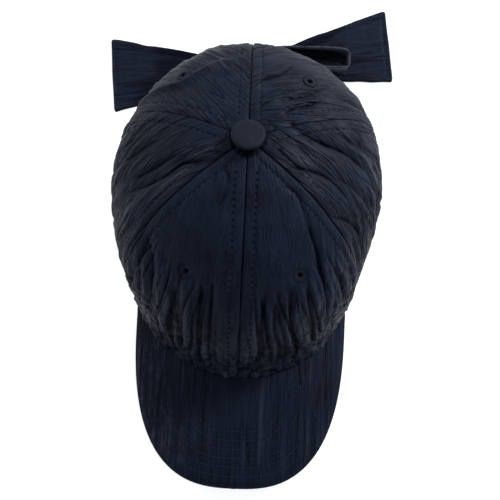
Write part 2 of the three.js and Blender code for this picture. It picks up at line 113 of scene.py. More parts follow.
def even_stations(line: Array, pitch: float) -> Array:
    """Gives shares along a line of points that lie one pitch apart."""
    along = distances(line)
    return np.interp(np.arange(pitch / 2, along[-1], pitch), along, np.linspace(0.0, 1.0, len(line)))


def smooth_rows(rows: Array, shares: Array) -> Array:
    """Draws a smooth line through the rows of a table.

    Args:
        rows: Rows by columns of numbers.
        shares: Places from 0 at the first row to 1 at the last.

    Returns:
        The columns' values at each place.
    """
    last = len(rows) - 1
    place = np.clip(shares, 0.0, 1.0) * last
    k = np.minimum(np.floor(place).astype(int), last - 1)
    t = (place - k)[:, None]
    a, b, c, d = (rows[np.clip(k + j, 0, last)] for j in (-1, 0, 1, 2))
    slope_in, slope_out = (c - a) / 2, (d - b) / 2
    bend = 2 * (b - c) + slope_in + slope_out
    rise = 3 * (c - b) - 2 * slope_in - slope_out
    return ((bend * t + rise) * t + slope_in) * t + b


# Noise that is the same on every run

HASH_STEPS = (374761393, 668265263, 974634777)
HASH_STIRS = ((13, 1274126177), (16, 1103515245))
HASH_SHIFT = 15
HASH_MASK = 0x7FFFFFFF
PUCKER_POWER, PUCKER_GAIN, PUCKER_MEAN = 0.65, 1.3, 0.55
RIB_VALLEY, RIB_MEAN = (0.03, 0.32), 0.62
VALLEY_FLOOR = 0.25


def lattice(i: Array, j: Array, seed: int) -> Array:
    """Gives a fixed random value for each crossing of a grid.

    Args:
        i: Whole column numbers.
        j: Whole row numbers.
        seed: Picks one of many fields of values.

    Returns:
        Values from -1 to 1.
    """
    step_i, step_j, step_seed = HASH_STEPS
    h = (i.astype(np.int64) * step_i + j.astype(np.int64) * step_j + seed * step_seed) & HASH_MASK
    for shift, factor in HASH_STIRS:
        h = ((h ^ (h >> shift)) * factor) & HASH_MASK
    return (h ^ (h >> HASH_SHIFT)) / float(HASH_MASK) * 2.0 - 1.0


def soft_noise(x: Array, y: Array, seed: int) -> Array:
    """Gives smooth noise with one cell per unit.

    Args:
        x: Places across, in cells.
        y: Places along, in cells.
        seed: Picks one of many fields.

    Returns:
        Values from -1 to 1.
    """
    i, j = np.floor(x), np.floor(y)
    fx, fy = x - i, y - j
    fx, fy = fx * fx * (3 - 2 * fx), fy * fy * (3 - 2 * fy)
    near = blend(lattice(i, j, seed), lattice(i + 1, j, seed), fx)
    far = blend(lattice(i, j + 1, seed), lattice(i + 1, j + 1, seed), fx)
    return blend(near, far, fy)


def pucker(x: Array, y: Array, seed: int) -> Array:
    """Gives noise with rounded crowns, sharp valleys and a mean near 0, as cloth drawn together."""
    return np.abs(soft_noise(x, y, seed)) ** PUCKER_POWER * PUCKER_GAIN - PUCKER_MEAN


def ribs(x: Array, y: Array, seed: int) -> Array:
    """Gives noise with flat crowns and narrow, steep valleys, as cloth gathered into a seam."""
    return ramp(np.abs(soft_noise(x, y, seed)), *RIB_VALLEY) - RIB_MEAN


def valleys(x: Array, y: Array, seed: int, reach: float) -> Array:
    """Gives 1 along the bottoms of the valleys of ribs or puckers, and 0 past a reach from them."""
    return 1.0 - ramp(np.abs(soft_noise(x, y, seed)), VALLEY_FLOOR * reach, reach)


@dataclass(frozen=True)
class Cells:
    """A field of noise on a cloth: how large its cells are, and what it adds to the cloth's own seed."""

    across: float
    along: float
    seed: int = 0

    def at(self, x: Array, y: Array, seed: int) -> tuple[Array, Array, int]:
        """Gives places counted in cells, and the field's seed, as the noise functions take them."""
        return x / self.across, y / self.along, seed + self.seed


@dataclass(frozen=True)
class PleatLayer:
    """One size of pleat: how wide and long its cells are, and how high it stands."""

    width: float
    length: float
    height: float


@dataclass(frozen=True)
class Pleats:
    """The crinkle pressed into a cloth, as layers of long narrow puckers that wander a little."""

    layers: Sequence[PleatLayer]
    wander: float = 2.4
    wander_cells: Cells = Cells(26.0, 41.6, 71)
    patch_cells: Cells = Cells(18.2, 26.0, 72)
    patch_range: Pair = (-0.5, 0.6)
    lean: float = 0.28
    calmest: float = 0.45
    wildest: float = 1.5
    seed_step: int = 13

    def relief(self, across: Array, along: Array, seed: int) -> Array:
        """Works out how far the pleats stand out.

        Args:
            across: Places across the pleats.
            along: Places along the pleats.
            seed: Picks the pattern of one piece of cloth.

        Returns:
            Heights.
        """
        bent = across + self.wander * soft_noise(*self.wander_cells.at(across, along, seed))
        patch = ramp(soft_noise(*self.patch_cells.at(across, along, seed)), *self.patch_range)
        height = np.zeros_like(bent)
        for k, layer in enumerate(self.layers):
            x, y, own = bent / layer.width, along / layer.length, seed + self.seed_step * k
            height += layer.height * pucker(x + self.lean * pucker(x, y, own), y, own)
        return height * blend(self.calmest, self.wildest, patch)


CROWN_PLEATS = Pleats((PleatLayer(8.0, 44.0, 0.34), PleatLayer(3.7, 28.0, 0.62), PleatLayer(2.0, 18.0, 0.5)))
PEAK_PLEATS = Pleats(
    (PleatLayer(6.0, 90.0, 0.12), PleatLayer(2.9, 70.0, 0.26), PleatLayer(1.7, 50.0, 0.34)),
    0.5,
)
RIBBON_PLEATS = Pleats(
    (PleatLayer(7.5, 50.0, 0.8), PleatLayer(3.4, 28.0, 0.7), PleatLayer(1.8, 12.0, 0.4)),
    1.8,
)


# Meshes from grids of points


@dataclass
class ClothMesh:
    """A mesh under construction: its points, its faces, the pleats' lie, and the fold value that a finish reads
    to paint shade into valleys and highlights onto ridges.
    """

    points: Array
    faces: Array
    lie: Array
    fold: Array

    def face_out(self) -> None:
        """Turns the faces over if they look inwards."""
        a, b, c, d = (self.points[self.faces[:, k]] for k in range(4))
        if (a * np.cross(b, c)).sum() + (a * np.cross(c, d)).sum() < 0:
            self.faces = self.faces[:, ::-1]


def joined(meshes: Sequence[ClothMesh]) -> ClothMesh:
    """Joins several meshes into one.

    Args:
        meshes: The meshes, in order.

    Returns:
        The one mesh.
    """
    shifts = np.cumsum([0] + [len(mesh.points) for mesh in meshes[:-1]])
    faces = np.concatenate([mesh.faces + shift for mesh, shift in zip(meshes, shifts)])
    points = np.concatenate([mesh.points for mesh in meshes])
    lie = np.concatenate([mesh.lie for mesh in meshes])
    return ClothMesh(points, faces, lie, np.concatenate([mesh.fold for mesh in meshes]))


def ring_of(rows: int, columns: int) -> Array:
    """Lists a grid's outer points in order round its edge."""
    grid = np.arange(rows * columns).reshape(rows, columns)
    return np.concatenate([grid[0, :-1], grid[:-1, -1], grid[-1, :0:-1], grid[:0:-1, 0]])


def grid_quads(rows: int, columns: int, keep: Array | None = None) -> Array:
    """Lists the four corners of every square of a grid, or of those that keep names.

    Args:
        rows: How many rows of points it has.
        columns: How many points are in a row.
        keep: Which squares stay, or None for all.

    Returns:
        The four corners of each square.
    """
    grid = np.arange(rows * columns).reshape(rows, columns)
    quads = np.stack([grid[:-1, :-1], grid[1:, :-1], grid[1:, 1:], grid[:-1, 1:]], axis=-1)
    return quads[keep] if keep is not None else quads.reshape(-1, 4)


def hole_walls(rows: int, columns: int, keep: Array) -> Array:
    """Lists the squares that join the two faces of a sheet round its holes.

    Args:
        rows: Rows of points.
        columns: Columns of points.
        keep: Which squares of the grid are cloth.

    Returns:
        One row of four point numbers for each square.
    """
    quads = grid_quads(rows, columns, keep)
    edges = np.concatenate([quads[:, [k, (k + 1) % 4]] for k in range(4)])
    known = {(int(a), int(b)) for a, b in edges}
    rim = set(ring_of(rows, columns).tolist())
    shift = rows * columns
    bare = [(a, b) for a, b in known if (b, a) not in known and not (a in rim and b in rim)]
    return np.array(sorted((b, a, a + shift, b + shift) for a, b in bare), dtype=np.int64).reshape(-1, 4)


def closed_sheet(
    top: Array, under: Array, lie: Array, fold: Array, roll: float,
    side_roll: float | None = None, keep: Array | None = None,
) -> ClothMesh:
    """Closes two faces of cloth into one body with a rounded edge.

    Args:
        top: Points of the outer face, rows by columns by 3.
        under: Points of the inner face, in the same layout.
        lie: Place of each point across and along its pleats.
        fold: How far each point stands out, which the finish turns into painted shade and painted highlight.
        roll: How far the edge rounds outwards, as a share of the wall.
        side_roll: The same for the first and last column, or None for no difference.
        keep: Which squares of the grid are cloth, or None for all of them.

    Returns:
        The closed mesh.
    """
    rows, columns = top.shape[:2]
    count = rows * columns
    ring = ring_of(rows, columns)
    flat_top, flat_under = top.reshape(-1, 3), under.reshape(-1, 3)
    inner = np.clip(ring // columns, 1, rows - 2) * columns + np.clip(ring % columns, 1, columns - 2)
    away = unit(flat_top[ring] - flat_top[inner])
    wall = np.linalg.norm(flat_top[ring] - flat_under[ring], axis=1, keepdims=True)
    on_side = np.isin(ring % columns, (0, columns - 1))[:, None]
    share = np.where(on_side, roll if side_roll is None else side_roll, roll)
    middle = (flat_top[ring] + flat_under[ring]) / 2 + away * wall * share
    top_quads = grid_quads(rows, columns, keep)
    following = np.roll(ring, -1)
    mid = 2 * count + np.arange(len(ring))
    mid_next = np.roll(mid, -1)
    upper = np.stack([ring, following, mid_next, mid], axis=1)
    lower = np.stack([mid, mid_next, following + count, ring + count], axis=1)
    faces = [top_quads, top_quads[:, ::-1] + count, upper, lower]
    if keep is not None:
        faces.append(hole_walls(rows, columns, keep))
    flat_lie, flat_fold = lie.reshape(-1, 2), fold.reshape(-1)
    return ClothMesh(
        np.concatenate([flat_top, flat_under, middle]),
        np.concatenate(faces),
        np.concatenate([flat_lie, flat_lie, flat_lie[ring]]),
        np.concatenate([flat_fold, flat_fold, flat_fold[ring]]),
    )


def wrapped(points: Array, lie: Array, fold: Array, ring: bool = False) -> ClothMesh:
    """Joins the two sides of a grid whose last column repeats the first.

    Args:
        points: Rows by columns by 3.
        lie: Place of each point across and along the cloth.
        fold: How far each point stands out, which the finish turns into painted shade and painted highlight.
        ring: Whether its last row repeats the first one too, so that it closes both ways.

    Returns:
        The mesh, without the repeated points.
    """
    rows = points.shape[0] - 1 if ring else points.shape[0]
    columns = points.shape[1] - 1
    grid = np.arange(rows * columns).reshape(rows, columns)
    right = np.roll(grid, -1, axis=1)
    faces = np.stack([grid, np.roll(grid, -1, axis=0), np.roll(right, -1, axis=0), right], -1)
    faces = faces if ring else faces[:-1]
    cut = (slice(rows), slice(columns))
    flat, flat_lie, flat_fold = points[cut].reshape(-1, 3), lie[cut].reshape(-1, 2), fold[cut].reshape(-1)
    return ClothMesh(flat, faces.reshape(-1, 4), flat_lie, flat_fold)


def revolved(points: Array, lie: Array) -> ClothMesh:
    """Closes a grid that runs round an axis, from a pole in its first row to an open ring in its last.

    Args:
        points: Rows by columns by 3. The last column repeats the first.
        lie: Places across and along the cloth.

    Returns:
        The mesh, with its last ring closed by a flat face of squares.
    """
    body = wrapped(points, lie, np.zeros(points.shape[:2]))
    count, columns = len(body.points), points.shape[1] - 1
    ring = count - columns + np.arange(columns)
    even = np.arange(0, columns, 2)
    pole = np.full(len(even), count)
    fan = np.stack([ring[even], pole, ring[(even + 2) % columns], ring[(even + 1) % columns]], -1)
    middle = body.points[ring].mean(axis=0, keepdims=True)
    all_points = np.concatenate([body.points, middle])
    all_lie = np.concatenate([body.lie, np.zeros((1, 2))])
    return ClothMesh(all_points, np.concatenate([body.faces, fan]), all_lie, np.zeros(count + 1))


def cap_to_frame() -> Vector:
    """Finds where the cap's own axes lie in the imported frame, from the button at the apex."""
    low, high = (Vector(corner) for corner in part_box("top_button"))
    middle = (low + high) / 2
    return Vector((middle.x, middle.y - CrownShape().lean * MM, 0.0))


def make_object(name: str, mesh: ClothMesh, finish: bpy.types.Material) -> bpy.types.Object:
    """Makes a Blender object from a mesh in the cap's own millimetres.

    Args:
        name: The object's name.
        mesh: The mesh to place.
        finish: Its material.

    Returns:
        The new object, riding on the part's one body.
    """
    mesh.face_out()
    mesh.points[:, 2] = np.maximum(mesh.points[:, 2], FLOOR_CLEARANCE)
    data = bpy.data.meshes.new(name)
    data.vertices.add(len(mesh.points))
    data.vertices.foreach_set("co", (mesh.points * MM + np.array(cap_to_frame())).astype(np.float32).ravel())
    data.loops.add(mesh.faces.size)
    data.loops.foreach_set("vertex_index", mesh.faces.astype(np.int32).ravel())
    data.polygons.add(len(mesh.faces))
    data.polygons.foreach_set("loop_start", np.arange(0, mesh.faces.size, 4, dtype=np.int32))
    data.polygons.foreach_set("use_smooth", np.ones(len(mesh.faces), dtype=bool))
    data.update(calc_edges=True)
    data.validate()
    lie = data.uv_layers.new(name="lie")
    lie.data.foreach_set("uv", mesh.lie[mesh.faces.ravel()].astype(np.float32).ravel())
    fold = data.attributes.new("fold", "FLOAT", "POINT")
    fold.data.foreach_set("value", mesh.fold.astype(np.float32))
    data.materials.append(finish)
    piece = bpy.data.objects.new(name, data)
    bpy.context.scene.collection.objects.link(piece)
    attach(piece, BODY)
    LOG.info("%s: %d faces", name, len(mesh.faces))
    return piece


# Shader node groups

UNSET_COLOUR = (0.02, 0.02, 0.03, 1.0)
HALF = 0.5
PATCH_SHRINK, PATCH_SHIFT, PATCH_EDGE = (0.45, 0.6, 1.0), (17.0, 5.0, 3.0), 0.12
# The fold values over which a ridge takes its painted highlight colour and its rubbed, smoother roughness.
RIDGE_HIGHLIGHT_AND_RUB_RANGE = (0.25, 1.1)
DYE_SCALE, DYE_DETAIL, DYE_RANGE = 28.0, 3.0, (0.42, 0.68)
DUST_SCALE, DUST_DETAIL, DUST_RANGE = 900.0, 2.0, (0.55, 0.75)


class Sockets(Enum):
    """The kinds of socket that the groups below use."""

    NUMBER = "NodeSocketFloat"
    COLOUR = "NodeSocketColor"
    VECTOR = "NodeSocketVector"


def new_group(
    name: str, inputs: Sequence[tuple[str, Sockets, object]], outputs: Sequence[tuple[str, Sockets]]
) -> tuple[bpy.types.NodeTree, object, bpy.types.Node]:
    """Starts a shader node group.

    Args:
        name: The group's name.
        inputs: Name, kind and default of each input.
        outputs: Name and kind of each output.

    Returns:
        The group, its input sockets by name, and its output node.
    """
    group = bpy.data.node_groups.new(name, "ShaderNodeTree")
    for label, kind, default in inputs:
        socket = group.interface.new_socket(label, in_out="INPUT", socket_type=kind.value)
        if default is not None:
            socket.default_value = default
    for label, kind in outputs:
        group.interface.new_socket(label, in_out="OUTPUT", socket_type=kind.value)
    return group, group.nodes.new("NodeGroupInput").outputs, group.nodes.new("NodeGroupOutput")


def add_node(
    tree: bpy.types.NodeTree, kind: str, links: dict | None = None, **settings: object
) -> bpy.types.Node:
    """Adds a node, sets it up and joins its inputs.

    Args:
        tree: The node tree.
        kind: The node's type, after ShaderNode.
        links: Input name or number to an output socket, or to a plain value.
        settings: Properties of the node.

    Returns:
        The new node.
    """
    node = tree.nodes.new(f"ShaderNode{kind}")
    for key, value in settings.items():
        setattr(node, key, value)
    for key, value in (links or {}).items():
        if isinstance(value, bpy.types.NodeSocket):
            tree.links.new(value, node.inputs[key])
        else:
            node.inputs[key].default_value = value
    return node


def maths(tree: bpy.types.NodeTree, operation: str, a: object, b: object = 0.0) -> bpy.types.NodeSocket:
    """Adds a Math node and gives its output."""
    return add_node(tree, "Math", {0: a, 1: b}, operation=operation).outputs[0]


def remap(
    tree: bpy.types.NodeTree,
    value: object,
    low: float,
    high: object,
    at_low: object = 0.0,
    at_high: float = 1.0,
) -> bpy.types.NodeSocket:
    """Adds a node that maps one range of values onto another and gives its output."""
    return add_node(tree, "MapRange", {0: value, 1: low, 2: high, 3: at_low, 4: at_high}).outputs[0]


def noise(
    tree: bpy.types.NodeTree, place: object, scale: float = 1.0, detail: object = 1.0
) -> bpy.types.NodeSocket:
    """Adds a noise texture and gives its value."""
    return add_node(tree, "TexNoise", {"Vector": place, "Scale": scale, "Detail": detail}).outputs[0]


def mix_colour(tree: bpy.types.NodeTree, share: object, a: object, b: object) -> bpy.types.NodeSocket:
    """Adds a node that mixes two colours and gives its output."""
    return add_node(tree, "Mix", {0: share, 6: a, 7: b}, data_type="RGBA").outputs[2]


def weave_group() -> bpy.types.NodeTree:
    """Builds the plain weave: threads over and under each other, in millimetres of the cloth's lie."""
    group, given, out = new_group(
        "plain_weave",
        [("Lie", Sockets.VECTOR, None), ("Threads per mm", Sockets.NUMBER, 2.4)],
        [("Height", Sockets.NUMBER)],
    )
    scaled = add_node(group, "VectorMath", {0: given["Lie"], 3: given["Threads per mm"]}, operation="SCALE")
    parts = add_node(group, "SeparateXYZ", {0: scaled.outputs[0]})
    warp, weft = (maths(group, "SINE", maths(group, "MULTIPLY", parts.outputs[k], math.pi)) for k in (0, 1))
    group.links.new(maths(group, "MULTIPLY_ADD", maths(group, "MULTIPLY", warp, weft), HALF), out.inputs[0])
    return group


def crinkle_group() -> bpy.types.NodeTree:
    """Builds long hairline puckers too fine for the mesh, and the lines of their creases, which the finish
    darkens as painted shade.

    Bare is the share of the cloth that has none of the marks, and Line how wide they are.
    """
    group, given, out = new_group(
        "hairline_crinkle",
        [
            ("Lie", Sockets.VECTOR, None),
            ("Width", Sockets.NUMBER, 1.0),
            ("Length", Sockets.NUMBER, 9.0),
            ("Line", Sockets.NUMBER, 0.07),
            ("Bare", Sockets.NUMBER, 0.4),
            ("Detail", Sockets.NUMBER, 1.0),
        ],
        [("Height", Sockets.NUMBER), ("Mark", Sockets.NUMBER)],
    )
    parts = add_node(group, "SeparateXYZ", {0: given["Lie"]})
    across = maths(group, "DIVIDE", parts.outputs[0], given["Width"])
    along = maths(group, "DIVIDE", parts.outputs[1], given["Length"])
    place = add_node(group, "CombineXYZ", {0: across, 1: along}).outputs[0]
    crest = maths(group, "SUBTRACT", noise(group, place, detail=given["Detail"]), HALF)
    crest = maths(group, "ABSOLUTE", crest)
    # The mark is a mask along each crease line; the finish darkens the colour there as painted shade.
    mark = remap(group, crest, 0.0, given["Line"], 1.0, 0.0)
    apart = add_node(group, "VectorMath", {0: place, 1: PATCH_SHRINK}, operation="MULTIPLY")
    shifted = add_node(group, "VectorMath", {0: apart.outputs[0], 1: PATCH_SHIFT})
    there = maths(group, "SUBTRACT", noise(group, shifted.outputs[0]), given["Bare"])
    there = remap(group, there, 0.0, PATCH_EDGE)
    group.links.new(crest, out.inputs["Height"])
    group.links.new(maths(group, "MULTIPLY", mark, there), out.inputs["Mark"])
    return group


def fold_shade_group() -> bpy.types.NodeTree:
    """Builds painted shade and highlight for crinkled cloth: darker down in its valleys as painted shade, paler
    on its ridges as a painted highlight, where the ridges are also rubbed smoother.
    """
    colours = [(label, Sockets.COLOUR, UNSET_COLOUR) for label in ("Cloth", "Valley", "Ridge")]
    group, given, out = new_group(
        "painted_fold_shade",
        [("Fold", Sockets.NUMBER, 0.0), *colours],
        [("Color", Sockets.COLOUR), ("Ridge mask", Sockets.NUMBER)],
    )
    # down mixes in the valley colour as painted shade; up mixes in the ridge colour as painted highlight and
    # also smooths the roughness.
    down, up = remap(group, given["Fold"], 0.0, -1.0), remap(group, given["Fold"], *RIDGE_HIGHLIGHT_AND_RUB_RANGE)
    low = mix_colour(group, down, given["Cloth"], given["Valley"])
    group.links.new(mix_colour(group, up, low, given["Ridge"]), out.inputs["Color"])
    group.links.new(up, out.inputs["Ridge mask"])
    return group


def mottle_group() -> bpy.types.NodeTree:
    """Builds the uneven depth of a dyed cloth, as soft patches and fine dust."""
    colours = [(label, Sockets.COLOUR, UNSET_COLOUR) for label in ("Cloth", "Faded")]
    group, given, out = new_group(
        "dye_mottle",
        [("Vector", Sockets.VECTOR, None), *colours, ("Amount", Sockets.NUMBER, 0.3)],
        [("Color", Sockets.COLOUR)],
    )
    patch = remap(group, noise(group, given["Vector"], DYE_SCALE, DYE_DETAIL), *DYE_RANGE)
    speck = remap(group, noise(group, given["Vector"], DUST_SCALE, DUST_DETAIL), *DUST_RANGE, 0.0, HALF)
    share = maths(group, "MULTIPLY", maths(group, "ADD", patch, speck), given["Amount"])
    group.links.new(mix_colour(group, share, given["Cloth"], given["Faded"]), out.inputs[0])
    return group


@dataclass
class EffectGroups:
    """The shared effects, each built once."""

    weave: bpy.types.NodeTree = field(default_factory=weave_group)
    crinkle: bpy.types.NodeTree = field(default_factory=crinkle_group)
    painted_fold_shade: bpy.types.NodeTree = field(default_factory=fold_shade_group)
    mottle: bpy.types.NodeTree = field(default_factory=mottle_group)


# Finishes

LINE_EDGE = 0.05
LINE_DETAIL = 0.3
FADING = 1.9
SHEEN_TINT = (0.72, 0.8, 1.0, 1.0)
RUBBED_SMOOTHER = 0.12


@dataclass(frozen=True)
class ClothFinish:
    """A matt black cloth with a soft sheen. Colours are linear; valley is the painted shade colour of its
    creases and ridge the painted highlight colour of its ridges.
    """

    name: str
    cloth: Triple
    valley: Triple
    ridge: Triple
    roughness: float = 0.46
    gloss: float = 0.06
    sheen: float = 0.02
    sheen_roughness: float = 0.3
    threads: float = 2.4
    crinkle_width: float = 1.9
    crinkle_length: float = 15.0
    crinkle_bump: float = 1.8
    # crinkle_shade and line_shade are how strongly the crease lines are darkened, as painted shade.
    crinkle_shade: float = 0.5
    line_width: float = 4.6
    line_length: float = 34.0
    line_bare: float = 0.42
    line_bump: float = 0.35
    line_shade: float = 0.9
    weave_bump: float = 0.04
    mottled: float = 0.3

    def build(self, effects: EffectGroups) -> bpy.types.Material:
        """Builds the material.

        Args:
            effects: The shared node groups.

        Returns:
            The finished material.
        """
        material = bpy.data.materials.new(self.name)
        material.use_nodes = True
        tree = material.node_tree
        skin = tree.nodes["Principled BSDF"]
        skin.inputs["Specular IOR Level"].default_value = self.gloss
        skin.inputs["Sheen Weight"].default_value = self.sheen
        skin.inputs["Sheen Roughness"].default_value = self.sheen_roughness
        skin.inputs["Sheen Tint"].default_value = SHEEN_TINT
        lie = add_node(tree, "UVMap", uv_map="lie").outputs[0]
        mottle = add_node(tree, "Group", node_tree=effects.mottle, links={
            "Vector": add_node(tree, "TexCoord").outputs["Object"],
            "Cloth": (*self.cloth, 1),
            "Faded": (*(FADING * part for part in self.cloth), 1),
            "Amount": self.mottled,
        })
        tint = add_node(tree, "Group", node_tree=effects.painted_fold_shade, links={
            "Fold": add_node(tree, "Attribute", attribute_name="fold").outputs["Fac"],
            "Cloth": mottle.outputs[0],
            "Valley": (*self.valley, 1),
            "Ridge": (*self.ridge, 1),
        })
        weave = add_node(tree, "Group", {"Lie": lie, "Threads per mm": self.threads}, node_tree=effects.weave)
        crinkle = add_node(tree, "Group", node_tree=effects.crinkle, links={
            "Lie": lie, "Width": self.crinkle_width, "Length": self.crinkle_length,
        })
        line = add_node(tree, "Group", node_tree=effects.crinkle, links={
            "Lie": lie, "Width": self.line_width, "Length": self.line_length,
            "Line": LINE_EDGE, "Bare": self.line_bare, "Detail": LINE_DETAIL,
        })
        # The hairline and longer crease lines are darkened towards the valley colour, as painted shade.
        marked = maths(tree, "MULTIPLY", crinkle.outputs["Mark"], self.crinkle_shade)
        lined = maths(tree, "MULTIPLY", line.outputs["Mark"], self.line_shade)
        darker = maths(tree, "MAXIMUM", marked, lined)
        colour = mix_colour(tree, darker, tint.outputs["Color"], (*self.valley, 1))
        rubbed = self.roughness - RUBBED_SMOOTHER
        rough = remap(tree, tint.outputs["Ridge mask"], 0.0, 1.0, self.roughness, rubbed)
        fine = maths(tree, "MULTIPLY", weave.outputs[0], self.weave_bump)
        coarse = maths(tree, "MULTIPLY", crinkle.outputs["Height"], self.crinkle_bump)
        sunk = maths(tree, "MULTIPLY", line.outputs["Mark"], self.line_bump)
        height = maths(tree, "SUBTRACT", maths(tree, "ADD", fine, coarse), sunk)
        bump = add_node(tree, "Bump", {"Height": height, "Strength": 1.0, "Distance": MM})
        tree.links.new(colour, skin.inputs["Base Color"])
        tree.links.new(rough, skin.inputs["Roughness"])
        tree.links.new(bump.outputs[0], skin.inputs["Normal"])
        return material


@dataclass(frozen=True)
class FloorFinish:
    """The plain white table top, lit from below as a light table is, but not under the cap."""

    name: str = "white_table"
    colour: Triple = (0.42, 0.42, 0.42)
    roughness: float = 0.9
    gloss: float = 0.1
    glow: float = 0.84
    dark_half: Pair = (0.078, 0.098)
    dark_centre: Pair = (0.002, 0.0)
    fade: float = 0.08

    def build(self) -> bpy.types.Material:
        """Builds the material."""
        material = bpy.data.materials.new(self.name)
        material.use_nodes = True
        tree = material.node_tree
        skin = tree.nodes["Principled BSDF"]
        skin.inputs["Base Color"].default_value = (*self.colour, 1)
        skin.inputs["Roughness"].default_value = self.roughness
        skin.inputs["Specular IOR Level"].default_value = self.gloss
        skin.inputs["Emission Strength"].default_value = 1.0
        place = add_node(tree, "TexCoord").outputs["Object"]
        centred = add_node(tree, "VectorMath", {0: place, 1: (*self.dark_centre, 0)}, operation="SUBTRACT")
        links = {0: centred.outputs[0], 1: (*self.dark_half, 1)}
        scaled = add_node(tree, "VectorMath", links, operation="DIVIDE")
        reach = add_node(tree, "VectorMath", {0: scaled.outputs[0]}, operation="LENGTH")
        lit = remap(tree, reach.outputs["Value"], 1.0 - self.fade, 1.0)
        glow = maths(tree, "MULTIPLY", lit, self.glow)
        grey = add_node(tree, "CombineColor", {0: glow, 1: glow, 2: glow})
        tree.links.new(grey.outputs[0], skin.inputs["Emission Color"])
        return material


UNLINED = {"line_bump": 0.0, "line_shade": 0.0}
SMOOTH = {"crinkle_bump": 0.0, "crinkle_shade": 0.0, **UNLINED}


class Finish(Enum):
    """The cap's finishes, one for each kind of cloth and thread."""

    CROWN = ClothFinish("crown_cloth", (0.0101, 0.0136, 0.0260), (0.0014, 0.0024, 0.0075), (0.038, 0.044, 0.06))
    # The front panels' cloth is a darker copy of the crown cloth: painted shade for the front, which faces away
    # from the key light.
    FRONT = ClothFinish(
        "crown_front_cloth", (0.0080, 0.0116, 0.0240), (0.0012, 0.002, 0.007), (0.032, 0.038, 0.054),
        crinkle_bump=1.0, crinkle_shade=0.45, crinkle_length=9.0, crinkle_width=1.6, line_bare=0.6,
        line_shade=0.55, mottled=0.5,
    )
    # The peak's cloth is a darker copy of the crown cloth: painted shade for the crown's shadow on the peak.
    PEAK = ClothFinish(
        "peak_cloth", (0.0061, 0.0089, 0.0198), (0.0012, 0.002, 0.006), (0.023, 0.029, 0.045),
        crinkle_length=40.0, crinkle_width=1.5, line_width=2.8, line_length=70.0, line_bare=0.5,
    )
    BUTTON = ClothFinish(
        "button_cloth", (0.0095, 0.0125, 0.0215), (0.005, 0.007, 0.013), (0.017, 0.021, 0.033),
        crinkle_bump=0.1, crinkle_shade=0.1, weave_bump=0.1, **UNLINED,
    )
    BOW = ClothFinish(
        "bow_cloth", (0.0088, 0.0122, 0.0245), (0.0015, 0.0025, 0.0085), (0.022, 0.028, 0.044),
        crinkle_length=12.0, line_shade=0.4, crinkle_bump=1.1,
    )
    # The loop's cloth is a lighter copy of the bow cloth, with a much paler ridge colour for the painted
    # highlights along its edges.
    LOOP = ClothFinish(
        "bow_loop_cloth", (0.0095, 0.0132, 0.0265), (0.0018, 0.0026, 0.007), (0.05, 0.058, 0.08),
        crinkle_length=12.0, line_shade=0.5,
    )
    EYELET = ClothFinish(
        "eyelet_thread", (0.0088, 0.0122, 0.024), (0.002, 0.003, 0.007), (0.018, 0.023, 0.038),
        crinkle_bump=0.3, crinkle_shade=0.2, **UNLINED,
    )
    PEAK_STITCH = ClothFinish(
        "peak_thread", (0.0175, 0.022, 0.036), (0.012, 0.016, 0.028), (0.022, 0.028, 0.044), **SMOOTH,
    )
    STITCH = ClothFinish(
        "seam_thread", (0.002, 0.003, 0.007), (0.001, 0.0015, 0.003), (0.005, 0.007, 0.012),
        sheen=0.0, weave_bump=0.0, **SMOOTH,
    )


@dataclass
class Wardrobe:
    """Every finish, built once and looked up by name."""

    effects: EffectGroups = field(default_factory=EffectGroups)
    built: dict[Finish, bpy.types.Material] = field(default_factory=dict)

    def of(self, finish: Finish) -> bpy.types.Material:
        """Gives a finish's material, building it the first time."""
        if finish not in self.built:
            self.built[finish] = finish.value.build(self.effects)
        return self.built[finish]


# The shape of the cap

FRONT_REACH, RIM_FRONT = 109.0, 1.023


@dataclass(frozen=True)
class PeakShape:
    """The peak's sizes."""

    half_width: float = 74.7
    length: float = 70.2
    squareness: float = 2.66
    thickness: float = 3.2
    joint_height: float = 21.0
    tip_height: float = 15.0
    side_height: float = 3.2
    corner_tuck: float = 4.0
    joint_reach: float = FRONT_REACH * RIM_FRONT

    def top(self, x: Array, y: Array) -> Array:
        """Gives the height of the top face, before the lean.

        Args:
            x: Places across the cap.
            y: Places towards the back.

        Returns:
            The heights.
        """
        outward = np.clip((-y - self.joint_reach) / self.length, 0.0, 1.0)
        middle = blend(self.joint_height, self.tip_height, outward)
        return middle - (middle - self.side_height) * (x / self.half_width) ** 2


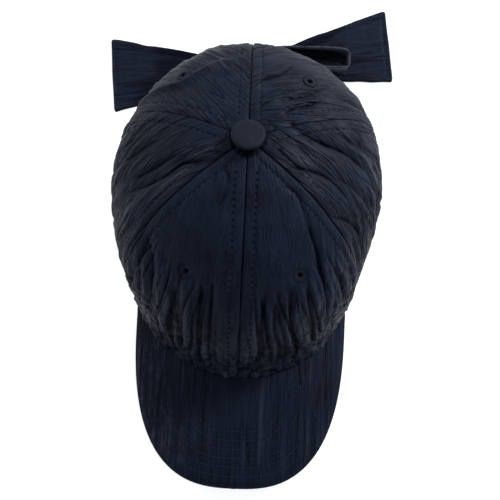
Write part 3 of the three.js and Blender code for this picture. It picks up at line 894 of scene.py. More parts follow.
@dataclass(frozen=True)
class CrownShape:
    """The crown's sizes and its plain shape, before any crease."""

    height: float = 115.5
    shoulder_front: float = 42.8
    shoulder_back: float = 65.7
    shoulder_share: float = 0.72
    half_width: float = 89.1
    front_reach: float = FRONT_REACH
    back_reach: float = 94.4
    fullness_front: float = 1.96
    fullness_back: float = 2.22
    rim_side: float = 0.962
    rim_front: float = RIM_FRONT
    rim_back: float = 0.96
    lean: float = 23.8
    eye: float = 5.0
    arch_half_angle: float = 24.0
    arch_top_share: float = 0.78
    gap: float = 0.3
    peak: PeakShape = PeakShape()
    look_around: float = 1.0
    look_down: float = 0.01
    near_apex: float = 0.001

    def lean_at(self, z: Array) -> Array:
        """Gives how far back the cap leans at a height."""
        return self.lean * z / self.height

    def widest(self, angle: Array) -> Array:
        """Gives the reach of the widest section in a direction, in radians."""
        along = np.where(np.sin(angle) < 0, self.front_reach, self.back_reach)
        return 1.0 / np.hypot(np.cos(angle) / self.half_width, np.sin(angle) / along)

    def rim_share(self, angle: Array) -> Array:
        """Gives the rim's reach as a share of the widest section."""
        along = np.where(np.sin(angle) < 0, self.rim_front, self.rim_back)
        return self.rim_side * np.cos(angle) ** 2 + along * np.sin(angle) ** 2

    def rim_height(self, x: Array, y: Array) -> Array:
        """Gives the height of the crown's lower edge: on the peak in front, on the table elsewhere."""
        return np.where(y < 0, np.maximum(0.0, self.peak.top(x, y) + self.gap), 0.0)

    def edge_share(self, degrees: Array) -> Array:
        """Gives the share of the way to the rim at which the cloth ends, above the arch behind."""
        across = np.abs(turn(90.0, degrees)) / self.arch_half_angle
        return 1.0 - (1.0 - self.arch_top_share) * np.sqrt(np.clip(1.0 - across**2, 0.0, 1.0))

    def eye_share(self, degrees: Array) -> Array:
        """Gives the share at which the cloth starts, at the hole under the button.

        Args:
            degrees: Angles round the crown.

        Returns:
            The shares.
        """
        angle = np.radians(degrees)
        fullness = blend(self.fullness_front, self.fullness_back, (1 + np.sin(angle)) / 2)
        quarter = np.arcsin((self.eye / self.widest(angle)) ** (fullness / 2))
        return quarter * 2 * self.shoulder_share / math.pi

    def base(self, degrees: Array, share: Array) -> Array:
        """Gives places on the plain crown.

        Args:
            degrees: Angles round the crown from +X towards +Y.
            share: Shares of the way from the apex, 0, to the rim, 1.

        Returns:
            Points, with a last axis of 3.
        """
        angle = np.radians(degrees)
        backness = (1.0 + np.sin(angle)) / 2.0
        power = 2.0 / blend(self.fullness_front, self.fullness_back, backness)
        shoulder = blend(self.shoulder_front, self.shoulder_back, backness)
        quarter = np.clip(share / self.shoulder_share, 0.0, 1.0) * math.pi / 2
        low = np.clip((share - self.shoulder_share) / (1.0 - self.shoulder_share), 0.0, None)
        widest, rim_share = self.widest(angle), self.rim_share(angle)
        reach = widest * np.sin(quarter) ** power * (1.0 - (1.0 - rim_share) * low**2)
        rim = self.rim_height(widest * rim_share * np.cos(angle), widest * rim_share * np.sin(angle))
        dome = shoulder + (self.height - shoulder) * np.clip(np.cos(quarter), 0.0, 1.0) ** power
        z = np.where(low > 0, blend(shoulder, rim, low), dome)
        x, y = reach * np.cos(angle), reach * np.sin(angle) + self.lean_at(z)
        return np.stack(np.broadcast_arrays(x, y, z), -1)

    def normal(self, degrees: Array, share: Array) -> Array:
        """Gives the outward direction of the plain crown.

        Args:
            degrees: Angles round the crown.
            share: Shares of the way from apex to rim.

        Returns:
            The unit directions.
        """
        around = self.base(degrees + self.look_around, share) - self.base(degrees - self.look_around, share)
        above = np.maximum(share - self.look_down, self.near_apex)
        return unit(np.cross(self.base(degrees, share + self.look_down) - self.base(degrees, above), around))


@dataclass(frozen=True)
class CreaseFeel:
    """How every crease is shaped across its line and towards its two ends."""

    steps_per_point: int = 4
    end: float = 0.06
    end_power: float = 0.7
    crisp: float = 0.9
    # mark is how wide the painted shade, or on a ridge the painted highlight, spreads from a crease's line.
    mark: float = 0.95
    step_top: float = 2.5
    step_foot: Pair = (6.0, 22.0)


FEEL = CreaseFeel()


@dataclass(frozen=True)
class Crease:
    """A crease over the crown, through places given as an angle and a share of the way to the rim.

    depth is how far it sinks in, and is negative for a ridge. sharp is the part of it that lies in a
    crisp line, and step lowers the cloth on the crease's left, as seen along it from outside.
    """

    at: str
    route: tuple[Pair, ...]
    width: float
    depth: float
    sharp: float = 0.45
    step: float = 0.0

    def measure(self, shape: CrownShape, place: Array) -> tuple[Array, Array, Array]:
        """Measures places against the crease's line.

        Args:
            shape: The plain crown.
            place: Points on it.

        Returns:
            The distance to the line, its sign, and a share that fades out at the line's two ends.
        """
        shares = np.linspace(0.0, 1.0, FEEL.steps_per_point * len(self.route) + 1)
        route = smooth_rows(np.array(self.route, dtype=float), shares).T
        line, outward = shape.base(*route), shape.normal(*route)
        nearest = np.full(place.shape[:-1], np.inf)
        side, along = np.zeros_like(nearest), np.zeros_like(nearest)
        for k, (start, end) in enumerate(zip(line[:-1], line[1:])):
            run = end - start
            foot = np.clip(((place - start) @ run) / (run @ run), 0.0, 1.0)
            away = place - start - foot[..., None] * run
            distance = np.linalg.norm(away, axis=-1)
            closer = distance < nearest
            nearest = np.where(closer, distance, nearest)
            side = np.where(closer, np.sign(away @ np.cross(outward[k], run)), side)
            along = np.where(closer, (k + foot) / (len(line) - 1), along)
        inside = np.sin(math.pi * blend(FEEL.end, 1.0 - FEEL.end, along))
        return nearest, side, np.clip(inside, 0.0, 1.0) ** FEEL.end_power

    def relief(self, shape: CrownShape, place: Array) -> tuple[Array, Array]:
        """Works out what the crease does to the cloth.

        Args:
            shape: The plain crown.
            place: Points on it.

        Returns:
            How far it moves the cloth, and the painted shade along its crisp line, below 0 for a painted
            highlight along a ridge.
        """
        nearest, side, fade = self.measure(shape, place)
        line = np.exp(-nearest / FEEL.crisp)
        height = -self.depth * ((1 - self.sharp) * bell(nearest, self.width) + self.sharp * line)
        lowered = ramp(nearest, 0.0, FEEL.step_top) * (1 - ramp(nearest, *FEEL.step_foot))
        drop = -self.step * np.where(side > 0, lowered, 0.0)
        return (height + drop) * fade, np.sign(self.depth) * self.sharp * bell(nearest, FEEL.mark) * fade


@dataclass(frozen=True)
class Swell:
    """A rounded patch where the soft crown stands out or sinks in."""

    at: str
    angle: float
    share: float
    reach_angle: float
    reach_share: float
    height: float

    def relief(self, degrees: Array, share: Array) -> Array:
        """Gives how far the swell moves the cloth."""
        across = turn(self.angle, degrees) / self.reach_angle
        return self.height * bell(np.hypot(across, (share - self.share) / self.reach_share), 1.0)


CREASES = (
    Crease("left flank", ((-148, 0.114), (-156, 0.16), (-161, 0.21), (-159, 0.265), (-160, 0.34), (-165, 0.46)),
           4.0, 3.2, 0.55),
    Crease("left flank, over it", ((-170, 0.226), (-167, 0.306), (-168, 0.40)), 2.6, 1.8),
    Crease("left flank, far", ((176, 0.30), (180, 0.44), (178, 0.62)), 3.0, 1.6),
    Crease("right flank", ((27, 0.13), (14, 0.165), (6, 0.233), (3, 0.334), (0, 0.416)), 4.5, 3.6, 0.55),
    Crease("right flank, over it", ((14, 0.30), (9, 0.42), (7, 0.60)), 3.0, 1.6, 0.3),
    Crease("right flank, middle", ((-30, 0.133), (-22, 0.194), (-18, 0.265), (-20, 0.363)), 3.5, 2.4, 0.5),
    Crease("right flank, lower", ((-14, 0.30), (-13, 0.42), (-15, 0.60)), 3.0, 1.6, 0.3),
    Crease("right temple", ((-35, 0.34), (-29, 0.397), (-26, 0.475), (-26, 0.545), (-31, 0.68)), 4.5, 3.4, 0.5),
    Crease("right temple, under it", ((-32, 0.47), (-33, 0.58), (-36, 0.70)), 3.0, 2.0, 0.3),
    Crease("front right", ((-49.5, 0.29), (-51, 0.326), (-54, 0.44), (-57, 0.62)), 1.8, 2.2, 0.5),
    Crease("front right, over it", ((-49, 0.165), (-44, 0.20), (-47, 0.246), (-50, 0.29)), 2.0, 1.0, 0.3),
    Crease("front left dimple", ((-130, 0.102), (-116, 0.11), (-110, 0.129)), 1.6, 0.8, 0.35),
    Crease("front left dimple, lower", ((-109, 0.15), (-109.5, 0.165), (-111, 0.19)), 1.6, 0.7, 0.3),
    Crease("left temple", ((-138, 0.43), (-131, 0.46), (-127, 0.56), (-126, 0.66)), 3.6, 3.0),
    Crease("left temple, under it", ((-136, 0.50), (-133, 0.60), (-132, 0.72)), 3.0, 2.2),
    Crease("back left crest", ((150, 0.52), (144, 0.42), (137, 0.325), (127, 0.30), (116, 0.30), (107, 0.308)),
           3.2, -3.2, 0.18, 2.4),
    Crease("back right row", ((43, 0.14), (38.5, 0.208), (38, 0.278)), 2.4, 2.2, 0.55),
    Crease("back right row, upper", ((58, 0.143), (47, 0.224), (44, 0.35)), 2.4, 1.8, 0.4),
    Crease("back right row, far", ((80, 0.196), (71, 0.245), (66, 0.32)), 2.4, 1.4, 0.4),
    Crease("back right notch", ((38, 0.36), (33, 0.46), (31, 0.58)), 2.6, 2.0, 0.4),
    Crease("front left gather", ((-107, 0.40), (-105.5, 0.48), (-104, 0.66), (-103.6, 0.90)), 1.7, 3.4, 0.6),
    Crease("front left gather, inner", ((-102.5, 0.38), (-101.3, 0.46), (-100, 0.66), (-99.5, 0.90)),
           1.7, 2.8, 0.6),
    Crease("front left gather, outer", ((-118, 0.46), (-116, 0.58), (-115, 0.76)), 1.7, 2.4, 0.6),
    Crease("front right gather, inner", ((-82, 0.41), (-80.5, 0.50), (-79, 0.72)), 1.7, 2.4, 0.6),
    Crease("front right gather", ((-75, 0.41), (-73, 0.50), (-70, 0.66), (-69, 0.84)), 1.7, 2.6, 0.6),
    Crease("front right gather, outer", ((-66, 0.47), (-64.5, 0.58), (-63, 0.76)), 1.7, 2.2, 0.6),
)

SWELLS = (
    Swell("back right shoulder", 34, 0.60, 20, 0.24, 3.0),
    Swell("right temple", -27, 0.60, 16, 0.24, -3.2),
    Swell("left flank notch", -164, 0.50, 8, 0.14, -1.6),
    Swell("back left hollow", 133, 0.50, 15, 0.10, -1.6),
)


@dataclass(frozen=True)
class EyeletPlace:
    """Where an eyelet is worked, the panel that it pierces, and how far it sinks into the cloth."""

    node: str
    panel: str
    angle: float
    share: float
    sink: float

    def away(self, shape: CrownShape, place: Array) -> Array:
        """Gives the distance from the eyelet's centre."""
        return np.linalg.norm(place - shape.base(np.array(self.angle), np.array(self.share)), axis=-1)


EYELETS = (
    EyeletPlace("eyelet_front_left", "front_left_panel", -115.6, 0.392, 1.6),
    EyeletPlace("eyelet_front_right", "front_right_panel", -63.5, 0.392, 1.3),
    EyeletPlace("eyelet_back_right", "back_right_panel", 52.5, 0.306, 0.1),
    EyeletPlace("eyelet_back_left", "back_left_panel", 130.0, 0.36, 1.0),
)


@dataclass(frozen=True)
class PanelCut:
    """One panel of the crown: its seams' angles, how its pleats run and how deep they are.

    pleat_turn is the angle from the panel's middle line to its pleats at the button, and pleat_bend
    how far they bend away from it on the way down. upper_height and lower_height scale the pleats
    above and below the middle, and gather is the depth of the folds at the rim.
    """

    node: str
    start: float
    end: float
    pleat_turn: float
    pleat_bend: float
    upper_height: float
    lower_height: float
    gather: float
    seed: int

    @property
    def middle(self) -> float:
        """Gives the angle of the panel's middle line."""
        return (self.start + self.end) / 2


FRONT_SEAM = -90.0
FAINT_SEAMS = (23.6, 156.4)
PANELS = (
    PanelCut("front_left_panel", -144.2, -90.0, 14, 0.0, 0.40, 0.75, 2.2, 101),
    PanelCut("front_right_panel", -90.0, -35.8, -16, 0.0, 0.32, 0.60, 2.2, 202),
    PanelCut("side_right_panel", -35.8, 23.6, -14, -1.4, 0.75, 1.15, 1.0, 303),
    PanelCut("back_right_panel", 23.6, 90.0, -34, 0.0, 0.75, 0.90, 0.6, 404),
    PanelCut("back_left_panel", 90.0, 156.4, 8, 0.0, 0.65, 1.10, 0.6, 505),
    PanelCut("side_left_panel", 156.4, 215.8, 10, 1.6, 0.60, 1.20, 1.0, 606),
)


@dataclass(frozen=True)
class Gathers:
    """The upright folds that the cloth is drawn into above the rim, and the crumple just over it."""

    rim_radius: float = 95.0
    sway: float = 1.6
    sway_cells: Cells = Cells(18.0, 22.0, 4)
    wide: Cells = Cells(6.0, 60.0, 5)
    narrow: Cells = Cells(2.9, 34.0, 6)
    coarse: Cells = Cells(3.9, 6.0, 7)
    fine: Cells = Cells(2.1, 4.0, 8)
    wide_height: float = 0.95
    narrow_height: float = 0.35
    coarse_height: float = 0.65
    fine_share: float = 0.6
    wide_valley: float = 0.16
    narrow_valley: float = 0.12
    coarse_valley: float = 0.13
    # The dark values are painted shade in the valleys of the folds and crumple.
    narrow_dark: float = 0.5
    coarse_dark: float = 1.2
    drawn_from: Pair = (0.36, 0.50)
    eased_from: Pair = (0.64, 0.84)
    eased: float = 0.7
    crumpled_from: Pair = (0.52, 0.70)
    deepest: float = 2.2
    darkest: float = 2.0

    def relief(self, cut: PanelCut, degrees: Array, down: Array, share: Array) -> tuple[Array, Array]:
        """Works out the folds of one panel.

        Args:
            cut: The panel.
            degrees: Angles round the crown.
            down: Distances from the apex.
            share: Shares of the way from apex to rim.

        Returns:
            Heights, and how dark the valleys are painted, as painted shade.
        """
        around = np.radians(degrees) * self.rim_radius
        sway = around + self.sway * soft_noise(*self.sway_cells.at(around, down, cut.seed))
        wide, narrow = self.wide.at(sway, down, cut.seed), self.narrow.at(sway, down, cut.seed)
        coarse, fine = self.coarse.at(around, down, cut.seed), self.fine.at(around, down, cut.seed)
        drawn = ramp(share, *self.drawn_from) * (1.0 - self.eased * ramp(share, *self.eased_from))
        crumpled = ramp(share, *self.crumpled_from) * min(1.0, cut.gather / self.deepest) ** 2
        height = (self.wide_height * ribs(*wide) + self.narrow_height * ribs(*narrow)) * drawn
        height = height + self.coarse_height * (pucker(*coarse) + self.fine_share * pucker(*fine)) * crumpled
        dark = self.narrow_dark * valleys(*narrow, self.narrow_valley)
        dark = np.maximum(valleys(*wide, self.wide_valley), dark)
        dark = np.maximum(dark * drawn, self.coarse_dark * valleys(*coarse, self.coarse_valley) * crumpled)
        return cut.gather * height, dark * min(1.0, cut.gather / self.darkest)


@dataclass(frozen=True)
class ShadeAndWear:
    """How much each fold and pleat of the crown tints its cloth as painted shade in its valleys and painted
    highlight on its ridges, how dark the painted shade along gathers and crisp lines is, and how much random
    rubbed patches change its tone.
    """

    broad: Cells = Cells(17.0, 24.0, 21)
    small: Cells = Cells(7.0, 9.0, 22)
    small_share: float = 0.6
    drawn: float = 0.3
    pressed: float = 0.95
    rubbed: float = 0.3
    dark: float = 1.05
    mark: float = 1.4


@dataclass
class PanelCloth:
    """The cloth of one panel: its plain shape, folds, seams, pleats and hem."""

    cut: PanelCut
    shape: CrownShape = field(default_factory=CrownShape)
    gathers: Gathers = field(default_factory=Gathers)
    shade_and_wear: ShadeAndWear = field(default_factory=ShadeAndWear)
    wall: float = 2.0
    under_follow: float = 0.5
    seam_tuck: float = 0.9
    edge_roll: float = 0.35
    row_power: float = 0.9
    seam_depth: float = 0.95
    seam_width: float = 0.6
    faint_depth: float = 0.55
    seam_line: float = 0.4
    faint_line: float = 0.45
    least_line: float = 0.1
    # mark_gain scales the crease, eyelet and button marks, which are painted shade and, on a ridge, painted
    # highlight.
    mark_gain: float = 2.4
    allowance: float = 0.15
    allowance_edge: Pair = (4.5, 8.0)
    pillow: float = 0.25
    stitch_offset: float = 6.5
    stitch_pull: float = 0.3
    stitch_pull_width: float = 1.0
    quiet: float = 6.0
    eyelet_outline: float = 4.6
    outline_width: float = 0.6
    outline_depth: float = 0.3
    # outline_shade darkens the groove round each eyelet, as painted shade.
    outline_shade: float = 0.22
    sink_reach: float = 4.2
    eyelet_hole: float = 2.4
    # button_shadow gives the radii of the painted shadow under the button.
    button_shadow: Pair = (9.2, 11.6)
    hem: float = 3.0
    hem_height: float = 0.7
    hem_width: float = 1.8
    pleats_change: Pair = (0.15, 0.6)
    pleats_start: Pair = (0.0, 0.12)
    pleats_at_seam: float = 0.45
    pleats_clear: Pair = (1.0, 8.0)
    groove_columns: tuple[float, ...] = (0.02, 0.3, 0.65, 1.1, 1.7, 2.4)
    groove_room: float = 16.0
    groove_top: float = 0.03
    samples: int = 400
    down: tuple[Array, Array] = field(init=False)

    def __post_init__(self) -> None:
        """Measures the panel's middle line, so that pleats have their true scale."""
        share = np.linspace(0.0, 1.0, self.samples)
        self.down = (share, distances(self.shape.base(np.full_like(share, self.cut.middle), share)))

    def length_to(self, share: Array) -> Array:
        """Gives the distance from the apex along the middle line."""
        return np.interp(share, *self.down)

    def reach(self, degrees: Array, share: Array) -> Array:
        """Gives the distance from the crown's axis."""
        place = self.shape.base(degrees, share)
        return np.hypot(place[..., 0], place[..., 1] - self.shape.lean_at(place[..., 2]))

    def width_at(self, share: Array) -> Array:
        """Gives the distance from seam to seam."""
        reach = self.reach(np.full_like(share, self.cut.middle), share)
        return math.radians(self.cut.end - self.cut.start) * reach

    def lie(self, degrees: Array, share: Array) -> Array:
        """Works out how the cloth lies under its pleats.

        Args:
            degrees: Angles round the crown.
            share: Shares of the way from apex to rim.

        Returns:
            Places across and along the pleats of the flat cloth.
        """
        u, v = np.radians(degrees - self.cut.middle) * self.reach(degrees, share), self.length_to(share)
        a = math.radians(self.cut.pleat_turn)
        across = u * math.cos(a) - v * math.sin(a) - self.cut.pleat_bend * MM * v**2
        return np.stack([across, u * math.sin(a) + v * math.cos(a)], -1)

    def from_seam(self, degrees: Array, share: Array) -> Array:
        """Gives the distance to the nearer seam."""
        nearer = np.minimum(degrees - self.cut.start, self.cut.end - degrees)
        return np.radians(np.maximum(nearer, 0.0)) * self.reach(degrees, share)

    def by_faint_seam(self, degrees: Array) -> Array:
        """Tells where the nearer seam is one of the faint ones."""
        by_start = degrees - self.cut.start < self.cut.end - degrees
        return np.isin(np.where(by_start, self.cut.start, self.cut.end), FAINT_SEAMS)

    def calm(self, place: Array) -> Array:
        """Falls to 0 round each eyelet, where the cloth lies smooth."""
        away = (eyelet.away(self.shape, place) for eyelet in EYELETS)
        return math.prod((1.0 - bell(far, self.quiet) for far in away), start=1.0)

    def folds(self, degrees: Array, share: Array) -> tuple[Array, Array]:
        """Works out the relief of the large folds, seams and hem.

        Args:
            degrees: Angles round the crown.
            share: Shares of the way from apex to rim.

        Returns:
            Heights, and how dark the crisp lines among them are.
        """
        place = self.shape.base(degrees, share)
        inside = (degrees - self.cut.start) / (self.cut.end - self.cut.start)
        height = self.pillow * (np.sqrt(np.clip(np.sin(math.pi * inside), 0.0, 1.0)) - 1.0)
        mark = np.zeros_like(height)
        for crease in CREASES:
            moved, dark = crease.relief(self.shape, place)
            height, mark = height + moved, np.where(np.abs(dark) > np.abs(mark), dark, mark)
        height = (height + sum(swell.relief(degrees, share) for swell in SWELLS)) * self.calm(place)
        for eyelet in EYELETS:
            away = eyelet.away(self.shape, place)
            outline = bell(away - self.eyelet_outline, self.outline_width)
            height = height - self.outline_depth * outline - eyelet.sink * bell(away, self.sink_reach)
            # The groove round the eyelet is darkened, as painted shade.
            mark = mark + self.outline_shade * outline
        # A ring round the button's foot is darkened as its painted shadow.
        mark = self.mark_gain * (mark + 1.0 - ramp(self.reach(degrees, share), *self.button_shadow))
        seam, faint = self.from_seam(degrees, share), self.by_faint_seam(degrees)
        height = height + self.allowance * (1.0 - ramp(seam, *self.allowance_edge))
        depth = np.where(faint, self.faint_depth, 1.0) * self.seam_depth
        height = height - depth * np.exp(-seam / self.seam_width)
        height = height - self.stitch_pull * bell(seam - self.stitch_offset, self.stitch_pull_width)
        line = np.where(faint, self.faint_line, 1.0) * np.exp(-seam / self.seam_line)
        mark = np.where(line > self.least_line, np.maximum(mark, line), mark)
        to_edge = self.length_to(self.shape.edge_share(degrees)) - self.length_to(share)
        return height + self.hem_height * bell(to_edge - self.hem, self.hem_width), mark

    def crinkle(self, degrees: Array, share: Array) -> Array:
        """Gives the relief of the pressed pleats.

        Args:
            degrees: Angles round the crown.
            share: Shares of the way from apex to rim.

        Returns:
            The relief.
        """
        strength = blend(self.cut.upper_height, self.cut.lower_height, ramp(share, *self.pleats_change))
        near_seam = blend(self.pleats_at_seam, 1.0, ramp(self.from_seam(degrees, share), *self.pleats_clear))
        relief = CROWN_PLEATS.relief(*np.moveaxis(self.lie(degrees, share), -1, 0), self.cut.seed)
        return relief * strength * near_seam * ramp(share, *self.pleats_start)

    def heights(self, degrees: Array, share: Array) -> tuple[Array, Array, Array]:
        """Works out the cloth's relief.

        Args:
            degrees: Angles round the crown.
            share: Shares of the way from apex to rim.

        Returns:
            The relief of the large folds alone, that of all folds and pleats together, and the tint that goes
            with it, from -1 in a valley to 1 on a ridge: painted shade in the valleys and painted highlight on
            the ridges, with random rubbed patches.
        """
        calm = self.calm(self.shape.base(degrees, share))
        large, mark = self.folds(degrees, share)
        drawn, dark = self.gathers.relief(self.cut, degrees, self.length_to(share), share)
        pressed = self.crinkle(degrees, share) * calm
        u, v = np.moveaxis(self.lie(degrees, share), -1, 0)
        shade_and_wear, seed = self.shade_and_wear, self.cut.seed
        small = soft_noise(*shade_and_wear.small.at(u, v, seed))
        rubbed = soft_noise(*shade_and_wear.broad.at(u, v, seed)) + shade_and_wear.small_share * small
        # The gathers' and pleats' relief lightens ridges and darkens valleys as painted highlight and shade,
        # dark and mark add painted shade, and rubbed is random tone.
        folded = (shade_and_wear.drawn * drawn - shade_and_wear.dark * dark) * calm
        tint = folded + shade_and_wear.pressed * pressed + shade_and_wear.rubbed * rubbed - shade_and_wear.mark * mark
        return large, large + drawn * calm + pressed, tint

    def on_rim(self, points: Array) -> Array:
        """Brings the last row of points onto what the crown stands on.

        Args:
            points: The row of points.

        Returns:
            The row, moved up or down.
        """
        upright = points[..., 1] - self.shape.lean_at(points[..., 2])
        z = self.shape.rim_height(points[..., 0], upright)
        return np.stack([points[..., 0], upright + self.shape.lean_at(z), z], -1)

    def surface(self, degrees: Array, share: Array) -> tuple[Array, Array]:
        """Gives points on the outside of the finished cloth, and its outward direction."""
        normal = self.shape.normal(degrees, share)
        return self.shape.base(degrees, share) + normal * self.heights(degrees, share)[1][..., None], normal

    def columns_at(self, columns: int, down: Array) -> Array:
        """Spreads the columns of each row, closer together beside the seams, where the groove is narrow.

        Args:
            columns: Squares from seam to seam.
            down: Shares of the way from the button to the rim, one for each row.

        Returns:
            Angles, rows by columns.
        """
        width = self.width_at(np.maximum(down, self.groove_top))
        close = np.array(self.groove_columns)
        near = close[None, :] * np.minimum(1.0, width / self.groove_room)
        inner = across_steps(columns + 2 - 2 * len(close))[:, 1:-1]
        between = near[:, -1:] + (width - 2 * near[:, -1:]) * inner
        place = np.concatenate([near, between, (width - near)[:, ::-1]], axis=1)
        return blend(self.cut.start, self.cut.end, place / width)

    def cut_size(self) -> Triple:
        """Works out the flat piece that the panel is cut from: its width, length and area."""
        share, length = self.down
        width = self.width_at(share)
        area = float(((width[1:] + width[:-1]) / 2 * np.diff(length)).sum())
        return float(width.max()), float(length[-1]), area

    def mesh(self, columns: int, rows: int) -> ClothMesh:
        """Builds the panel's mesh.

        Args:
            columns: Squares from seam to seam.
            rows: Squares from the button to the rim.

        Returns:
            The closed mesh, pierced where an eyelet goes through.
        """
        down = down_steps(rows) ** self.row_power
        degrees = self.columns_at(columns, down)
        share = blend(self.shape.eye_share(degrees), self.shape.edge_share(degrees), down)
        base, normal = self.shape.base(degrees, share), self.shape.normal(degrees, share)
        large, full, tint = self.heights(degrees, share)
        top = base + normal * full[..., None]
        under = base + normal * (blend(large, full, self.under_follow) - self.wall)[..., None]
        under[:, 0] += (under[:, 0] - under[:, 1]) * self.seam_tuck
        under[:, -1] += (under[:, -1] - under[:, -2]) * self.seam_tuck
        rim = np.isclose(share[-1], 1.0)
        top[-1, rim] = self.on_rim(top[-1, rim])
        under[-1, rim] = self.on_rim(under[-1, rim])
        centre = (base[1:, 1:] + base[:-1, :-1]) / 2
        keep = np.ones((rows, columns), dtype=bool)
        for eyelet in EYELETS:
            if eyelet.panel == self.cut.node:
                keep &= eyelet.away(self.shape, centre) > self.eyelet_hole
        whole = None if keep.all() else keep
        return closed_sheet(top, under, self.lie(degrees, share), tint, self.edge_roll, 0.0, whole)


def panel_cloth(node: str) -> PanelCloth:
    """Gives the cloth of the panel with a name."""
    return PanelCloth(next(cut for cut in PANELS if cut.node == node))


# Small sewn details


@dataclass(frozen=True)
class Thread:
    """A stitch of thread that dips into the cloth at both ends."""

    length: float
    radius: float
    sides: int = 6
    rings: tuple[Triple, ...] = (
        (-0.5, 0.25, -0.5), (-0.36, 0.85, 0.1), (0.0, 1.0, 0.35), (0.36, 0.85, 0.1), (0.5, 0.25, -0.5),
    )

    def quads(self) -> Array:
        """Lists the faces of one stitch, closed at both ends."""
        ring = np.arange(self.sides)
        around = np.stack([ring, np.roll(ring, -1), np.roll(ring, -1) + self.sides, ring + self.sides], -1)
        walls = [around + self.sides * k for k in range(len(self.rings) - 1)]
        cap = np.array([(0, 1, 2, 3), (0, 3, 4, 5)])
        return np.concatenate([*walls, cap[:, ::-1], cap + self.sides * (len(self.rings) - 1)])

    def sew(self, places: Array, alongs: Array, normals: Array) -> ClothMesh:
        """Lays a stitch at each place.

        Args:
            places: Middle of each stitch, on the cloth.
            alongs: Direction of each stitch.
            normals: Outward direction of the cloth.

        Returns:
            One mesh of all the stitches.
        """
        along, normal = unit(alongs), unit(normals)
        across = unit(np.cross(normal, along))
        points = []
        for reach, thickness, lift in self.rings:
            centre = places + along * (reach * self.length) + normal * (lift * self.radius)
            for angle in np.arange(self.sides) * math.tau / self.sides:
                spread = across * math.cos(angle) + normal * math.sin(angle)
                points.append(centre + spread * (thickness * self.radius))
        flat = np.stack(points, axis=1).reshape(-1, 3)
        faces = self.quads()[None] + np.arange(len(places))[:, None, None] * len(points)
        return ClothMesh(flat, faces.reshape(-1, 4), np.zeros((len(flat), 2)), np.zeros(len(flat)))


# Sub-assemblies


@dataclass
class Button:
    """The cloth-covered button, gathered under its edge."""

    radius: float = 10.1
    tilt: float = 9.0
    lift: float = 0.5
    height: float = 5.8
    profile: tuple[Pair, ...] = (
        (0.0, 1.0), (0.5, 0.985), (0.82, 0.94), (0.95, 0.87),
        (1.0, 0.74), (0.97, 0.42), (0.86, 0.14), (0.76, -0.04),
    )
    rings: int = 40
    sides: int = 96
    tucked_from: Pair = (0.55, 0.9)
    wrinkle: float = 0.5
    wrinkles_around: float = 4.5
    wrinkles_down: float = 4.0
    wrinkle_seed: int = 31
    softness: float = 0.16
    soft_cell: float = 4.0
    soft_shift: float = 9.0
    soft_seed: int = 32

    def mesh(self) -> ClothMesh:
        """Builds the button on top of the crown, leaned back with it."""
        shape = CrownShape()
        swing, around = down_steps(self.rings), across_steps(self.sides, math.tau)
        out, rise = (column[:, None] for column in smooth_rows(np.array(self.profile), swing[:, 0]).T)
        tuck = ramp(swing, *self.tucked_from)
        places = around * self.wrinkles_around, swing * self.wrinkles_down
        radius = out * self.radius + tuck * self.wrinkle * pucker(*places, self.wrinkle_seed)
        face_x, face_y = np.cos(around) * out * self.radius, np.sin(around) * out * self.radius
        cells = (face / self.soft_cell + self.soft_shift for face in (face_x, face_y))
        z = rise * self.height + self.softness * soft_noise(*cells, self.soft_seed) * (1 - tuck)
        x, y = radius * np.cos(around), radius * np.sin(around)
        cos, sin = math.cos(math.radians(self.tilt)), math.sin(math.radians(self.tilt))
        top = np.stack([x, shape.lean + y * cos + z * sin, shape.height + self.lift + z * cos - y * sin], -1)
        return revolved(top, np.stack([face_x, face_y], -1))


@dataclass
class Eyelet:
    """An eyelet: a ring of thread worked over the edge of its hole."""

    place: EyeletPlace
    sides: int = 168
    rings: int = 14
    threads: int = 28
    thread_height: float = 0.12
    uneven: float = 0.08
    uneven_around: float = 6.0
    radius: float = 2.95
    half_width: float = 1.35
    half_height: float = 0.5
    sunk: float = 0.05
    thread_lie: float = 3.0

    def mesh(self) -> ClothMesh:
        """Builds the ring on the finished cloth."""
        cloth = panel_cloth(self.place.panel)
        centre, normal = cloth.surface(np.array(self.place.angle), np.array(self.place.share))
        swing, around = down_steps(self.rings, math.tau), across_steps(self.sides, math.tau)
        ridge = self.thread_height * np.abs(np.sin(around * self.threads / 2))
        ridge = ridge + self.uneven * soft_noise(around * self.uneven_around, swing, cloth.cut.seed)
        radial = self.radius + np.cos(swing) * (self.half_width + ridge)
        lift = np.sin(swing) * (self.half_height + ridge) - self.sunk
        across = unit(np.cross(normal, np.array([0.0, 0.0, 1.0]) + 1e-6))
        spread = across * np.cos(around)[..., None] + np.cross(normal, across) * np.sin(around)[..., None]
        points = centre + spread * radial[..., None] + normal * lift[..., None]
        lie = np.stack(np.broadcast_arrays(around * self.thread_lie, swing), -1)
        return wrapped(points, lie, np.zeros(points.shape[:2]), ring=True)


